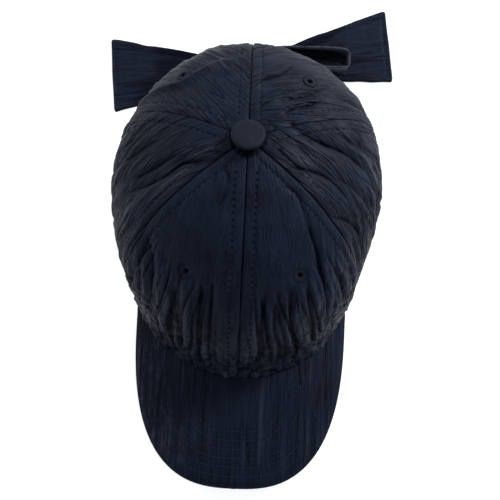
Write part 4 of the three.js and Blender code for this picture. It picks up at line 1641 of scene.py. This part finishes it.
@dataclass
class Crown:
    """The crown: six panels, their stitching, the covered button and the eyelets."""

    wardrobe: Wardrobe
    columns: int = 124
    rows: int = 184
    stitch: Thread = Thread(2.0, 0.32)
    front_stitch: Thread = Thread(1.5, 0.6)
    stitch_pitch: float = 4.0
    first_stitch: float = 0.085
    last_stitch: float = 0.985
    edge_gap: float = 0.015
    look_ahead: float = 0.004
    samples: int = 240

    def build(self) -> None:
        """Makes every piece of the crown."""
        for cut in PANELS:
            self.make_panel(PanelCloth(cut))
        rows = [self.seam_row(PanelCloth(cut), side) for cut in PANELS for side in (1.0, -1.0)]
        make_object("crown_topstitching", joined(rows), self.wardrobe.of(Finish.STITCH))
        finish = self.wardrobe.of(Finish.BUTTON)
        button = make_object("covered_button", Button().mesh(), finish)
        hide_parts("top_button")
        for place in EYELETS:
            ring = make_object(
                f"{place.node}_ring", Eyelet(place).mesh(), self.wardrobe.of(Finish.EYELET),
            )
            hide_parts(place.node)

    def make_panel(self, cloth: PanelCloth) -> None:
        """Makes one panel, which stands for its solid.

        Args:
            cloth: The panel's cloth.
        """
        mesh = cloth.mesh(self.columns, self.rows)
        front = FRONT_SEAM in (cloth.cut.start, cloth.cut.end)
        finish = Finish.FRONT if front else Finish.CROWN
        piece = make_object(f"{cloth.cut.node}_cloth", mesh, self.wardrobe.of(finish))
        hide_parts(cloth.cut.node)
        width, length, area = cloth.cut_size()

    def seam_row(self, cloth: PanelCloth, side: float) -> ClothMesh:
        """Lays the row of stitches along one side of a panel.

        Args:
            cloth: The panel's cloth.
            side: 1 for the panel's first seam and -1 for its second.

        Returns:
            The mesh of the row.
        """
        share = np.linspace(self.first_stitch, self.last_stitch, self.samples)
        seam = np.full_like(share, cloth.cut.start if side > 0 else cloth.cut.end)
        share = share * (cloth.shape.edge_share(seam) - self.edge_gap) / self.last_stitch
        degrees = seam + side * np.degrees(cloth.stitch_offset / cloth.reach(seam, share))
        at = even_stations(cloth.surface(degrees, share)[0], self.stitch_pitch)
        index = np.linspace(0.0, 1.0, len(share))
        degrees, share = np.interp(at, index, degrees), np.interp(at, index, share)
        place, normal = cloth.surface(degrees, share)
        ahead, _ = cloth.surface(degrees, share + self.look_ahead)
        thread = self.front_stitch if seam[0] == FRONT_SEAM else self.stitch
        return thread.sew(place, ahead - place, normal)


@dataclass(frozen=True)
class PeakLine:
    """A thin crease along the peak's cover, from one place to another."""

    start_x: float
    start_y: float
    end_x: float
    end_y: float
    depth: float
    width: float = 0.7

    def sunk(self, x: Array, y: Array) -> Array:
        """Gives how deep the crease is at each place.

        Args:
            x: Places across the cap.
            y: Places towards the back.

        Returns:
            The depths.
        """
        run_x, run_y = self.end_x - self.start_x, self.end_y - self.start_y
        along = ((x - self.start_x) * run_x + (y - self.start_y) * run_y) / (run_x**2 + run_y**2)
        foot = np.clip(along, 0.0, 1.0)
        away = np.hypot(x - self.start_x - foot * run_x, y - self.start_y - foot * run_y)
        return self.depth * bell(away, self.width)


PEAK_LINES = (
    PeakLine(40.5, -94.0, 42.5, -113.0, 0.7),
    PeakLine(60.5, -74.0, 61.0, -121.0, 0.6),
    PeakLine(5.0, -141.0, 10.5, -168.0, 0.4),
    PeakLine(-24.0, -118.0, -26.0, -142.0, 0.3),
    PeakLine(-52.0, -108.0, -53.0, -136.0, 0.4),
    PeakLine(24.0, -126.0, 25.5, -150.0, 0.3),
)


@dataclass(frozen=True)
class FadedCorner:
    """The paler, cracked patches at the peak's front left."""

    lean: float = 0.25
    across: Pair = (66.0, 84.0)
    forward: Pair = (70.0, 96.0)
    even: float = 0.25
    cracks: float = 0.6
    coarse: Cells = Cells(2.6, 5.0, 731)
    fine: Cells = Cells(1.6, 3.0, 732)
    fine_share: float = 0.6

    def paleness(self, x: Array, y: Array) -> Array:
        """Gives how pale the cover is.

        Args:
            x: Places across the cap.
            y: Places towards the back.

        Returns:
            The paleness.
        """
        cracked = pucker(*self.coarse.at(x, y, 0)) + self.fine_share * pucker(*self.fine.at(x, y, 0))
        there = ramp(-x - self.lean * y, *self.across) * ramp(-y, *self.forward)
        return there * (self.even + self.cracks * cracked)


@dataclass
class Peak:
    """The curved peak: a covered board with rows of stitches along its outer edge."""

    wardrobe: Wardrobe
    shape: PeakShape = field(default_factory=PeakShape)
    crown: CrownShape = field(default_factory=CrownShape)
    faded: FadedCorner = field(default_factory=FadedCorner)
    columns: int = 250
    rows: int = 96
    wall: float = 2.0
    upper_seed: int = 710
    lower_seed: int = 720
    lower_share: float = 0.6
    edge_clear: Pair = (0.0, 3.0)
    pinch: float = 0.9
    pinch_edge: Pair = (0.0, 4.0)
    edge_roll: float = 0.45
    least_height: float = 0.1
    ridge_tint: float = 1.7
    crease_tint: float = 2.0
    stitch: Thread = Thread(2.9, 0.2)
    stitch_rows: int = 6
    first_row: float = 7.0
    row_pitch: float = 5.6
    row_width: float = 0.9
    row_calm: float = 0.25
    row_depth: float = 0.06
    row_end: float = 0.06
    row_lift: float = 0.05
    joint_gap: float = 3.0
    stitch_pitch: float = 3.4
    edge_samples: int = 400
    row_samples: int = 500
    joint_samples: int = 300

    def plan(self, across: Array, outward: Array) -> tuple[Array, Array]:
        """Gives places on the peak, before the lean.

        Args:
            across: Angles from 0 at the right corner to pi at the left.
            outward: Shares from the joint, 0, to the outer edge, 1.

        Returns:
            The x and y of each place.
        """
        rim_x = self.crown.half_width * self.crown.rim_side
        rim_y = self.shape.joint_reach
        corner_y = -rim_y * math.sqrt(1 - (self.shape.half_width / rim_x) ** 2)
        reach = rim_y + self.shape.length + corner_y
        power = 2 / self.shape.squareness
        side = np.sign(np.cos(across)) * np.abs(np.cos(across)) ** power
        outer_x = self.shape.half_width * side
        outer_y = corner_y - reach * np.abs(np.sin(across)) ** power
        inner_x = (self.shape.half_width - self.shape.corner_tuck) * side
        inner_y = -(rim_y - self.wall) * np.sqrt(1 - (inner_x / (rim_x - self.wall)) ** 2)
        return blend(inner_x, outer_x, outward), blend(inner_y, outer_y, outward)

    def place(self, x: Array, y: Array, lift: Array) -> Array:
        """Gives points above the plain top face, leaned back with the cap."""
        z = self.shape.top(x, y)
        return np.stack([x, y + self.crown.lean_at(z), z + lift], -1)

    def from_edge(self, x: Array, y: Array) -> Array:
        """Gives a rough distance to the outer edge.

        Args:
            x: Places across the cap.
            y: Places towards the back.

        Returns:
            The distances.
        """
        across = np.linspace(0.0, math.pi, self.edge_samples)
        nearest = np.full(x.shape, np.inf)
        for edge_x, edge_y in zip(*self.plan(across, np.ones_like(across))):
            nearest = np.minimum(nearest, np.hypot(x - edge_x, y - edge_y))
        return nearest

    def relief(self, x: Array, y: Array, edge: Array, seed: int) -> Array:
        """Works out one face: straight pleats, drawn in along the rows of stitches.

        Args:
            x: Places across the cap.
            y: Places towards the back.
            edge: Distances to the outer edge.
            seed: Picks the face's pattern of pleats.

        Returns:
            Heights.
        """
        height = PEAK_PLEATS.relief(x, y, seed)
        for row in range(self.stitch_rows):
            pull = bell(edge - self.first_row - row * self.row_pitch, self.row_width)
            height = height * (1 - self.row_calm * pull) - self.row_depth * pull
        return height * ramp(edge, *self.edge_clear)

    def build(self) -> None:
        """Makes the peak and its stitches."""
        x, y = self.plan(across_steps(self.columns, math.pi), down_steps(self.rows))
        edge = self.from_edge(x, y)
        upper, lower = (self.relief(x, y, edge, seed) for seed in (self.upper_seed, self.lower_seed))
        pinch = self.pinch * (1 - ramp(edge, *self.pinch_edge))
        sunk = sum(line.sunk(x, y) for line in PEAK_LINES)
        top = self.place(x, y, upper - pinch - sunk)
        under = self.place(x, y, pinch - self.shape.thickness - np.minimum(lower, 0.0) * self.lower_share)
        under[..., 2] = np.maximum(under[..., 2], self.least_height)
        # The pleats' relief lightens ridges and darkens valleys, and the thin creases are darkened, as painted
        # highlight and shade; the faded corner is the cover's own paler colour.
        tint = upper * self.ridge_tint - self.crease_tint * sunk + self.faded.paleness(x, y)
        mesh = closed_sheet(top, under, np.stack([x, y], -1), tint, self.edge_roll)
        cover = make_object("peak_cover", mesh, self.wardrobe.of(Finish.PEAK))
        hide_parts("peak")
        insets = [self.first_row + row * self.row_pitch for row in range(self.stitch_rows)]
        rows = joined([self.stitch_row(inset) for inset in insets])
        make_object("peak_topstitching", rows, self.wardrobe.of(Finish.PEAK_STITCH))

    def row_line(self, inset: float) -> tuple[Array, Array]:
        """Gives the places that lie an inset inside the outer edge and clear of the crown.

        Args:
            inset: Distance from the edge.

        Returns:
            The x and y of each place.
        """
        across = np.linspace(self.row_end, math.pi - self.row_end, self.row_samples)
        x, y = self.plan(across, np.ones_like(across))
        run = unit(np.stack([np.gradient(x), np.gradient(y)], -1))
        x, y = x + run[:, 1] * inset, y - run[:, 0] * inset
        around = np.linspace(math.pi, 0.0, self.joint_samples)
        joint_x, joint_y = self.plan(around, np.zeros(self.joint_samples))
        clear = -y > np.interp(x, joint_x, -joint_y) + self.joint_gap
        return x[clear], y[clear]

    def stitch_row(self, inset: float) -> ClothMesh:
        """Lays one row of stitches along the outer edge.

        Args:
            inset: The row's distance from the edge.

        Returns:
            The mesh of the row.
        """
        x, y = self.row_line(inset)
        line = self.place(x, y, self.relief(x, y, self.from_edge(x, y), self.upper_seed) + self.row_lift)
        at = even_stations(line, self.stitch_pitch) * (len(line) - 1)
        index = np.arange(len(line))
        behind, place, ahead = (
            np.stack([np.interp(at + step, index, line[:, k]) for k in range(3)], -1) for step in (-1, 0, 1)
        )
        return self.stitch.sew(place, ahead - behind, np.broadcast_to([0.0, 0.0, 1.0], place.shape))


@dataclass(frozen=True)
class TailSection:
    """A section across a tail: its near and far edge, the height of its underside, and its thickness."""

    near_x: float
    near_y: float
    far_x: float
    far_y: float
    under: float
    thick: float


TAIL_LEFT = (
    TailSection(-10.6, 125.5, -10.6, 142.0, 3.6, 4.4),
    TailSection(-20.0, 123.0, -20.0, 143.4, 1.6, 3.6),
    TailSection(-32.0, 119.6, -34.0, 146.4, 0.0, 2.6),
    TailSection(-48.0, 115.0, -52.0, 149.8, 0.0, 2.0),
    TailSection(-68.0, 109.0, -72.0, 152.3, 0.0, 2.0),
    TailSection(-87.6, 102.2, -94.0, 155.5, 0.0, 2.0),
    TailSection(-107.4, 95.2, -116.1, 159.0, 0.0, 2.0),
)
TAIL_RIGHT = (
    TailSection(14.6, 126.0, 14.6, 145.5, 3.6, 4.4),
    TailSection(24.0, 127.6, 23.0, 154.0, 1.6, 3.6),
    TailSection(36.0, 129.0, 35.0, 162.6, 0.0, 2.6),
    TailSection(53.0, 130.0, 51.0, 170.6, 0.0, 2.0),
    TailSection(70.6, 130.6, 69.0, 179.1, 0.0, 2.0),
    TailSection(92.0, 131.2, 88.0, 188.0, 0.0, 2.0),
    TailSection(112.3, 131.8, 106.6, 196.9, 0.0, 2.0),
)


@dataclass(frozen=True)
class BandStation:
    """A place on a band that stands on edge: its upper edge's line, the heights of its two edges, and
    how far its lower edge is tucked back under the upper one."""

    x: float
    y: float
    low: float
    high: float
    tuck: float = 0.0


LOOP = (
    BandStation(14.9, 140.4, 13.0, 29.0),
    BandStation(28.0, 141.0, 11.0, 30.0),
    BandStation(42.0, 141.0, 9.0, 30.5),
    BandStation(56.0, 141.4, 8.0, 30.5),
    BandStation(67.6, 141.2, 8.0, 30.0),
    BandStation(72.4, 139.2, 8.0, 29.5),
    BandStation(73.0, 134.6, 9.0, 28.5, 1.0),
    BandStation(72.4, 129.6, 11.0, 27.5, 2.5),
    BandStation(67.6, 127.4, 12.0, 27.0, 6.5),
    BandStation(54.0, 127.4, 12.0, 26.5, 7.5),
    BandStation(42.0, 128.0, 12.0, 27.0, 7.5),
    BandStation(28.0, 128.6, 13.0, 28.0, 6.0),
    BandStation(14.9, 129.2, 13.0, 29.0, 3.0),
)
TIE_SEATS = (57.0, 61.0, 65.0)
TIE_FREE = (
    BandStation(29.0, 96.0, 3.5, 26.0),
    BandStation(20.0, 108.0, 5.0, 25.5),
    BandStation(11.0, 117.0, 7.0, 25.0),
    BandStation(6.0, 121.8, 8.0, 24.5),
)


def table_of(rows: Sequence[object]) -> Array:
    """Turns a table of dataclass rows into numbers."""
    return np.array([list(vars(row).values()) for row in rows], dtype=float)


@dataclass(frozen=True)
class Tail:
    """One tail of the bow, which flares from the knot to its square end.

    shaded is the share of the way along it where its painted shade near the knot ends.
    """

    side: str
    sections: tuple[TailSection, ...]
    seed: int
    shaded: float
    rows: int = 150
    columns: int = 110
    length: float = 112.0
    tuck_in: float = 6.0
    tuck_from: Pair = (0.0, 0.12)
    tuck_row: int = 12
    corner_along: float = 0.03
    corner_across: float = 0.075
    waver: float = 0.022
    wavers: float = 14.0
    waver_apart: float = 3.0
    waver_seed: int = 31
    waver_from: Pair = (0.15, 0.3)
    tight_until: Pair = (0.1, 0.8)
    loose_height: float = 0.4
    tight_height: float = 0.7
    drawn: Cells = Cells(8.0, 60.0, 3)
    drawn_height: float = 1.7
    drawn_valley: float = 0.22
    thin: Cells = Cells(15.0, 90.0, 12)
    thin_valley: float = 0.05
    thin_dark: float = 1.1
    patches: Cells = Cells(10.0, 34.0, 9)
    patchy: float = 0.2
    slant: float = 0.08
    shade: float = 0.85
    shade_edge: Pair = (-0.12, 0.04)
    valley_shade: float = 1.1
    ripples: Cells = Cells(30.0, 34.0, 4)
    ripple: float = 0.9
    rippled_from: Pair = (0.15, 0.6)
    edge_clear: Pair = (0.0, 5.0)
    hem: float = 1.2
    hem_width: float = 1.0
    hem_height: float = 0.35
    seam: float = 5.0
    seam_width: float = 1.1
    seam_depth: float = 0.3
    under_follow: float = 0.25
    edge_roll: float = 0.35

    def plan(self, section: Array, across: Array, share: Array) -> tuple[Array, Array]:
        """Lays out the tail, with rounded corners, wavering edges and its narrow end tucked into the knot.

        Args:
            section: Its sections, one for each row of the mesh.
            across: Shares of the way over it.
            share: Shares of the way along it.

        Returns:
            The x and y of each place.
        """
        near_end = np.clip((share - 1.0 + self.corner_along) / self.corner_along, 0.0, 1.0)
        rounding = self.corner_across * (1.0 - np.sqrt(np.clip(1.0 - near_end**2, 0.0, 1.0)))
        apart = np.sign(across - 0.5) * self.waver_apart
        waver = self.waver * soft_noise(share * self.wavers, apart, self.seed + self.waver_seed)
        grown = 1.0 - rounding + waver * ramp(share, *self.waver_from)
        plan = []
        for near, far in ((0, 2), (1, 3)):
            place = blend(section[:, near : near + 1], section[:, far : far + 1], across)
            middle = (place[:, :1] + place[:, -1:]) / 2
            plan.append(middle + (place - middle) * grown)
        inward = unit(np.array([place[0].mean() - place[self.tuck_row].mean() for place in plan]))
        tucked = self.tuck_in * (1 - ramp(share, *self.tuck_from))
        return plan[0] + tucked * inward[0], plan[1] + tucked * inward[1]

    def make(self, bow: "Bow") -> None:
        """Makes the tail, which stands for its solid.

        Args:
            bow: The bow that it belongs to.
        """
        share, across = down_steps(self.rows), across_steps(self.columns)
        section = smooth_rows(table_of(self.sections), share[:, 0])
        near, far, seed = section[:, 0:2], section[:, 2:4], self.seed
        width = np.hypot(*(far - near).T)[:, None]
        full_width = width[-1, 0]
        x, y = self.plan(section, across, share)
        u, v = np.broadcast_arrays((across - 0.5) * full_width, share * self.length)
        tight = 1 - ramp(share, *self.tight_until)
        drawn = self.drawn.at(u, v, seed)
        relief = RIBBON_PLEATS.relief(u, v, seed) * blend(self.loose_height, self.tight_height, tight)
        relief = relief + self.drawn_height * tight * pucker(*drawn)
        dark = tight * valleys(*drawn, self.drawn_valley)
        dark = np.maximum(dark, self.thin_dark * valleys(*self.thin.at(u, v, seed), self.thin_valley))
        out = share + self.patchy * soft_noise(*self.patches.at(u, v, seed)) + self.slant * (across - 0.5)
        shade = self.shade * (1 - ramp(out, *(self.shaded + edge for edge in self.shade_edge)))
        ripple = self.ripple * soft_noise(*self.ripples.at(u, v, seed)) * ramp(share, *self.rippled_from)
        border = np.minimum(np.minimum(across, 1 - across) * width, (1 - share) * self.length)
        hem = self.hem_height * bell(border - self.hem, self.hem_width)
        hem = hem - self.seam_depth * bell(border - self.seam, self.seam_width)
        relief = relief * ramp(border, *self.edge_clear) + hem
        lift = np.maximum(section[:, 4:5], 0.0) + np.maximum(ripple, 0.0)
        top = np.stack([x, y, lift + section[:, 5:6] + relief], -1)
        under = np.maximum(lift + self.under_follow * np.minimum(relief, 0.0), FLOOR_CLEARANCE)
        # The relief lightens ridges and darkens valleys, dark is painted shade in the drawn valleys, and shade
        # is painted shade near the knot.
        tint = relief - self.valley_shade * dark - shade
        mesh = closed_sheet(top, np.stack([x, y, under], -1), np.stack([u, v], -1), tint, self.edge_roll)
        piece = bow.dress(f"tail_{self.side}_cloth", mesh, f"tail_{self.side}")


@dataclass(frozen=True)
class Band:
    """A ribbon that stands on edge, as the loop and the ties do, with painted highlights on its edges and
    painted shade down its middle. bunched gives its extra puckers.
    """

    seed: int
    bunched: Callable[[Array, Array], Array]
    columns: int = 30
    thickness: float = 2.0
    pleat_height: float = 0.6
    pleats_clear: Pair = (0.0, 3.0)
    bunches_clear: Pair = (0.0, 4.0)
    roll: float = 0.25
    roll_at: float = 1.0
    roll_width: float = 0.9
    skin: float = 0.15
    back_share: float = 0.7
    edge_highlight: float = 2.2
    edge_width: float = 0.9
    upper_highlight: float = 1.2
    upper_width: float = 3.0
    middle_shade: float = 0.6
    middle_from: Pair = (1.5, 5.0)
    ridge_tint: float = 1.5
    edge_roll: float = 0.8

    def mesh(self, lows: Array, highs: Array) -> ClothMesh:
        """Builds the band.

        Args:
            lows: Points along its lower edge.
            highs: Points along its upper edge.

        Returns:
            The closed mesh.
        """
        across = across_steps(self.columns)
        middle = blend(lows[:, None, :], highs[:, None, :], across[..., None])
        outward = unit(np.cross(unit(np.gradient(lows, axis=0)), highs - lows))[:, None, :]
        width = np.linalg.norm(highs - lows, axis=1)[:, None]
        u, v = np.broadcast_arrays(across * width, distances(lows)[:, None])
        edge = np.minimum(u, width - u)
        relief = self.pleat_height * RIBBON_PLEATS.relief(u, v, self.seed) * ramp(edge, *self.pleats_clear)
        relief = relief + self.bunched(v / v[-1], across) * ramp(edge, *self.bunches_clear)
        # Painted highlights along both edges and by the upper edge, painted shade down the middle, and the
        # relief lightening ridges and darkening valleys.
        upper = self.upper_highlight * bell(width - u, self.upper_width)
        bright = self.edge_highlight * bell(edge, self.edge_width) + upper
        bright = bright - self.middle_shade * ramp(edge, *self.middle_from)
        half = self.thickness / 2 - self.skin + self.roll * bell(edge - self.roll_at, self.roll_width)
        top = middle + outward * (half + relief)[..., None]
        under = middle - outward * (half - relief * self.back_share)[..., None]
        tint = self.ridge_tint * relief + bright
        return closed_sheet(top, under, np.stack([u, v], -1), tint, self.edge_roll)


@dataclass(frozen=True)
class Knot:
    """The knot: ribbon wound over itself and pulled tight."""

    centre: Triple = (2.0, 134.0, 16.0)
    half: Triple = (12.0, 11.5, 14.6)
    room: float = 0.8
    squareness: float = 3.4
    rings: int = 90
    sides: int = 150
    wound: float = 12.0
    wound_sway: float = 2.5
    round_lie: float = 12.0
    broad_cell: float = 3.2
    broad_around: float = 1.4
    broad_height: float = 0.9
    broad_seed: int = 871
    small_cell: float = 1.5
    small_around: float = 2.6
    small_height: float = 0.5
    small_seed: int = 872

    def mesh(self) -> ClothMesh:
        """Builds the knot, with two splits where one turn of ribbon crosses another."""
        swing, around = down_steps(self.rings, math.pi), across_steps(self.sides, math.tau)
        y, z = np.sin(swing) * np.cos(around), np.sin(swing) * np.sin(around)
        ball = np.broadcast_arrays(np.cos(swing), y, z)
        size = sum(np.abs(part) ** self.squareness for part in ball) ** (1 / self.squareness)
        place = np.stack(ball, -1) / size[..., None]
        wound = place[..., 0] * self.wound + self.wound_sway * np.sin(around)
        broad = pucker(wound / self.broad_cell, around * self.broad_around, self.broad_seed)
        small = pucker(wound / self.small_cell, around * self.small_around, self.small_seed)
        relief = self.broad_height * broad + self.small_height * small - self.splits(place[..., 0], around)
        half = np.array(self.half) - self.room
        points = np.array(self.centre) + place * half + unit(place) * (relief * np.sin(swing))[..., None]
        lie = np.stack(np.broadcast_arrays(wound, around * self.round_lie), -1)
        # The relief is also its tint: painted shade in the splits and valleys, painted highlight on the crowns.
        return wrapped(points, lie, relief)

    def splits(self, along: Array, around: Array) -> Array:
        """Gives how deep the two splits between the turns of ribbon are."""
        first = 1.6 * bell(along - 0.32 * np.sin(around + 0.6), 0.09)
        return first + 1.1 * bell(along + 0.45 - 0.2 * np.cos(around), 0.08)


@dataclass
class Bow:
    """The half bow: two ties, the knot, one loop and two tails."""

    wardrobe: Wardrobe
    knot: Knot = field(default_factory=Knot)
    loop_rows: int = 180
    loop_width: float = 22.0
    tie_rows: int = 90
    tie_width: float = 23.0
    tie_low: float = 3.0
    tie_high: float = 26.0
    tie_stand_off: float = 2.1
    tie_drift_from: float = 90.0

    def build(self) -> None:
        """Makes every piece of the bow."""
        Tail("left", TAIL_LEFT, 811, 0.77).make(self)
        Tail("right", TAIL_RIGHT, 822, 0.73).make(self)
        self.make_loop()
        self.make_tie("left", -1.0, 843)
        self.make_tie("right", 1.0, 844)
        self.dress("bow_knot_cloth", self.knot.mesh(), "bow_knot")

    def dress(self, name: str, mesh: ClothMesh, node: str, finish: Finish = Finish.BOW) -> bpy.types.Object:
        """Makes a piece of ribbon that stands for its solid.

        Args:
            name: The piece's name.
            mesh: Its mesh.
            node: The solid that it stands for.
            finish: Its finish.

        Returns:
            The piece.
        """
        piece = make_object(name, mesh, self.wardrobe.of(finish))
        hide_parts(node)
        return piece

    def make_loop(self) -> None:
        """Makes the loop, wrinkled where it turns back on itself."""
        x, y, low, high, tuck = smooth_rows(table_of(LOOP), np.linspace(0.0, 1.0, self.loop_rows + 1)).T
        lows, highs = np.stack([x, y + tuck, low], -1), np.stack([x, y, high], -1)

        def bend(along: Array, across: Array) -> Array:
            """Gives the wrinkles at the loop's far end."""
            return 1.9 * bell(along - 0.5, 0.14) * pucker(across * 6.5 + 3, along * 7.0, 861)

        piece = self.dress("bow_loop_cloth", Band(831, bend).mesh(lows, highs), "bow_loop", Finish.LOOP)

    def make_tie(self, side: str, sign: float, seed: int) -> None:
        """Makes one tie, from its seat beside the arch to the knot.

        Args:
            side: The side that it is on.
            sign: 1 on the right and -1 on the left.
            seed: Picks its pattern of pleats.
        """
        cloth = panel_cloth(f"back_{side}_panel")
        lines = []
        for edge, height in (("low", self.tie_low), ("high", self.tie_high)):
            seats = [self.tie_seat(cloth, at if sign > 0 else 180.0 - at, height) for at in TIE_SEATS]
            free = [(self.tie_x(row, sign), row.y, getattr(row, edge)) for row in TIE_FREE]
            lines.append(smooth_rows(np.array([*seats, *free]), np.linspace(0.0, 1.0, self.tie_rows + 1)))

        def draw_in(along: Array, across: Array) -> Array:
            """Gives the puckers where the tie is drawn into the knot."""
            return 1.1 * ramp(along, 0.55, 1.0) * pucker(across * 5.0 + 1, along * 2.0, seed + 2)

        piece = self.dress(f"tie_{side}_cloth", Band(seed, draw_in).mesh(*lines), f"tie_{side}")

    def tie_x(self, row: BandStation, sign: float) -> float:
        """Gives how far across a free place on a tie lies, as the tie drifts towards the knot."""
        x, y, _ = self.knot.centre
        return x * float(ramp(row.y, self.tie_drift_from, y)) + sign * row.x

    def tie_seat(self, cloth: PanelCloth, degrees: float, height: float) -> Array:
        """Gives the middle of a tie that lies against a back panel.

        Args:
            cloth: The panel's cloth.
            degrees: The place's angle round the crown.
            height: Its height.

        Returns:
            The point.
        """
        shape = cloth.shape
        shoulder = blend(shape.shoulder_front, shape.shoulder_back, (1 + math.sin(math.radians(degrees))) / 2)
        share = np.array(blend(shape.shoulder_share, 1.0, 1 - height / shoulder))
        at = np.array(degrees)
        out = cloth.folds(at, share)[0] + self.tie_stand_off
        return shape.base(at, share) + shape.normal(at, share) * out


# The room


@dataclass(frozen=True)
class SoftLight:
    """A round soft light that faces the cap. Its place and its size are in metres."""

    name: str
    place: Triple
    size: float
    watts: float
    colour: Triple

    def make(self, aim: Triple = (0.0, 0.0, 0.05)) -> None:
        """Makes the light.

        Args:
            aim: The place that it faces.
        """
        data = bpy.data.lights.new(self.name, "AREA")
        data.shape = "DISK"
        data.size = self.size
        data.energy = self.watts
        data.color = self.colour
        lamp = bpy.data.objects.new(self.name, data)
        lamp.location = self.place
        lamp.rotation_mode = "QUATERNION"
        lamp.rotation_quaternion = (Vector(aim) - Vector(self.place)).to_track_quat("-Z", "Y")
        bpy.context.scene.collection.objects.link(lamp)


@dataclass
class Studio:
    """The white table, the soft lights and the camera. The camera's place is in the cap's millimetres."""

    eye: Triple = (3.8, -136.7, 461.5)
    look: Triple = (4.2, -7.94, -17.29)
    roll: float = 2.8
    focal_pixels: float = 641.2
    picture: int = 500
    sensor: float = 36.0
    clip: Pair = (0.01, 20.0)
    table_half: float = 4.0
    lights: tuple[SoftLight, ...] = (
        SoftLight("key_light", (1.55, 1.15, 1.3), 0.6, 53.0, (1.0, 0.985, 0.97)),
        SoftLight("left_light", (-1.6, 1.0, 0.7), 0.7, 11.0, (1.0, 0.98, 0.96)),
    )
    sky: tuple[float, ...] = (0.84, 0.92, 1.0, 1.0)
    sky_front: float = 0.12
    sky_back: float = 0.8
    sky_above: float = 0.5
    sky_turn: float = 0.7
    sky_rise: float = 0.6

    def build(self) -> None:
        """Makes the table, the lights, the surround and the camera."""
        self.make_table()
        for light in self.lights:
            light.make()
        self.make_surround()
        self.make_camera()

    def make_table(self) -> None:
        """Makes the table top."""
        data = bpy.data.meshes.new("table")
        half = self.table_half
        corners = [(-half, -half, 0), (half, -half, 0), (half, half, 0), (-half, half, 0)]
        data.from_pydata(corners, [], [(0, 1, 2, 3)])
        data.materials.append(FloorFinish().build())
        table = bpy.data.objects.new("table", data)
        bpy.context.scene.collection.objects.link(table)

    def make_surround(self) -> None:
        """Makes the pale surround, brighter behind the cap than in front of it."""
        world = bpy.data.worlds.new("white_room")
        world.use_nodes = True
        tree = world.node_tree
        parts = add_node(tree, "SeparateXYZ", {0: add_node(tree, "TexCoord").outputs["Generated"]})
        low = remap(tree, parts.outputs[1], -self.sky_turn, self.sky_turn, self.sky_front, self.sky_back)
        bright = remap(tree, parts.outputs[2], 0.0, self.sky_rise, low, self.sky_above)
        background = tree.nodes["Background"]
        background.inputs[0].default_value = self.sky
        tree.links.new(bright, background.inputs[1])
        scene = bpy.context.scene
        scene.world = world
        scene.view_settings.view_transform = "Standard"
        scene.view_settings.look = "None"

    def make_camera(self) -> None:
        """Makes the camera at the photograph's place, tilt and field of view."""
        data = bpy.data.cameras.new("camera")
        data.sensor_width = self.sensor
        data.lens = self.focal_pixels / self.picture * self.sensor
        data.clip_start, data.clip_end = self.clip
        camera = bpy.data.objects.new("camera", data)
        eye, look = (Vector(point) * MM + cap_to_frame() for point in (self.eye, self.look))
        forward = (look - eye).normalized()
        right = forward.cross(Vector((0, 0, 1))).normalized()
        level = Matrix((right, right.cross(forward), -forward)).transposed()
        turned = level @ Matrix.Rotation(math.radians(self.roll), 3, "Z")
        camera.matrix_world = Matrix.Translation(eye) @ turned.to_4x4()
        bpy.context.scene.collection.objects.link(camera)
        bpy.context.scene.camera = camera


def main() -> None:
    """Builds the room and the cap in order."""
    logging.basicConfig(level=logging.INFO, format="%(name)s: %(message)s")
    wardrobe = Wardrobe()
    Studio().build()
    for part in (Crown(wardrobe), Peak(wardrobe), Bow(wardrobe)):
        part.build()
        LOG.info("%s is made", type(part).__name__)


if __name__ == "__main__":
    main()
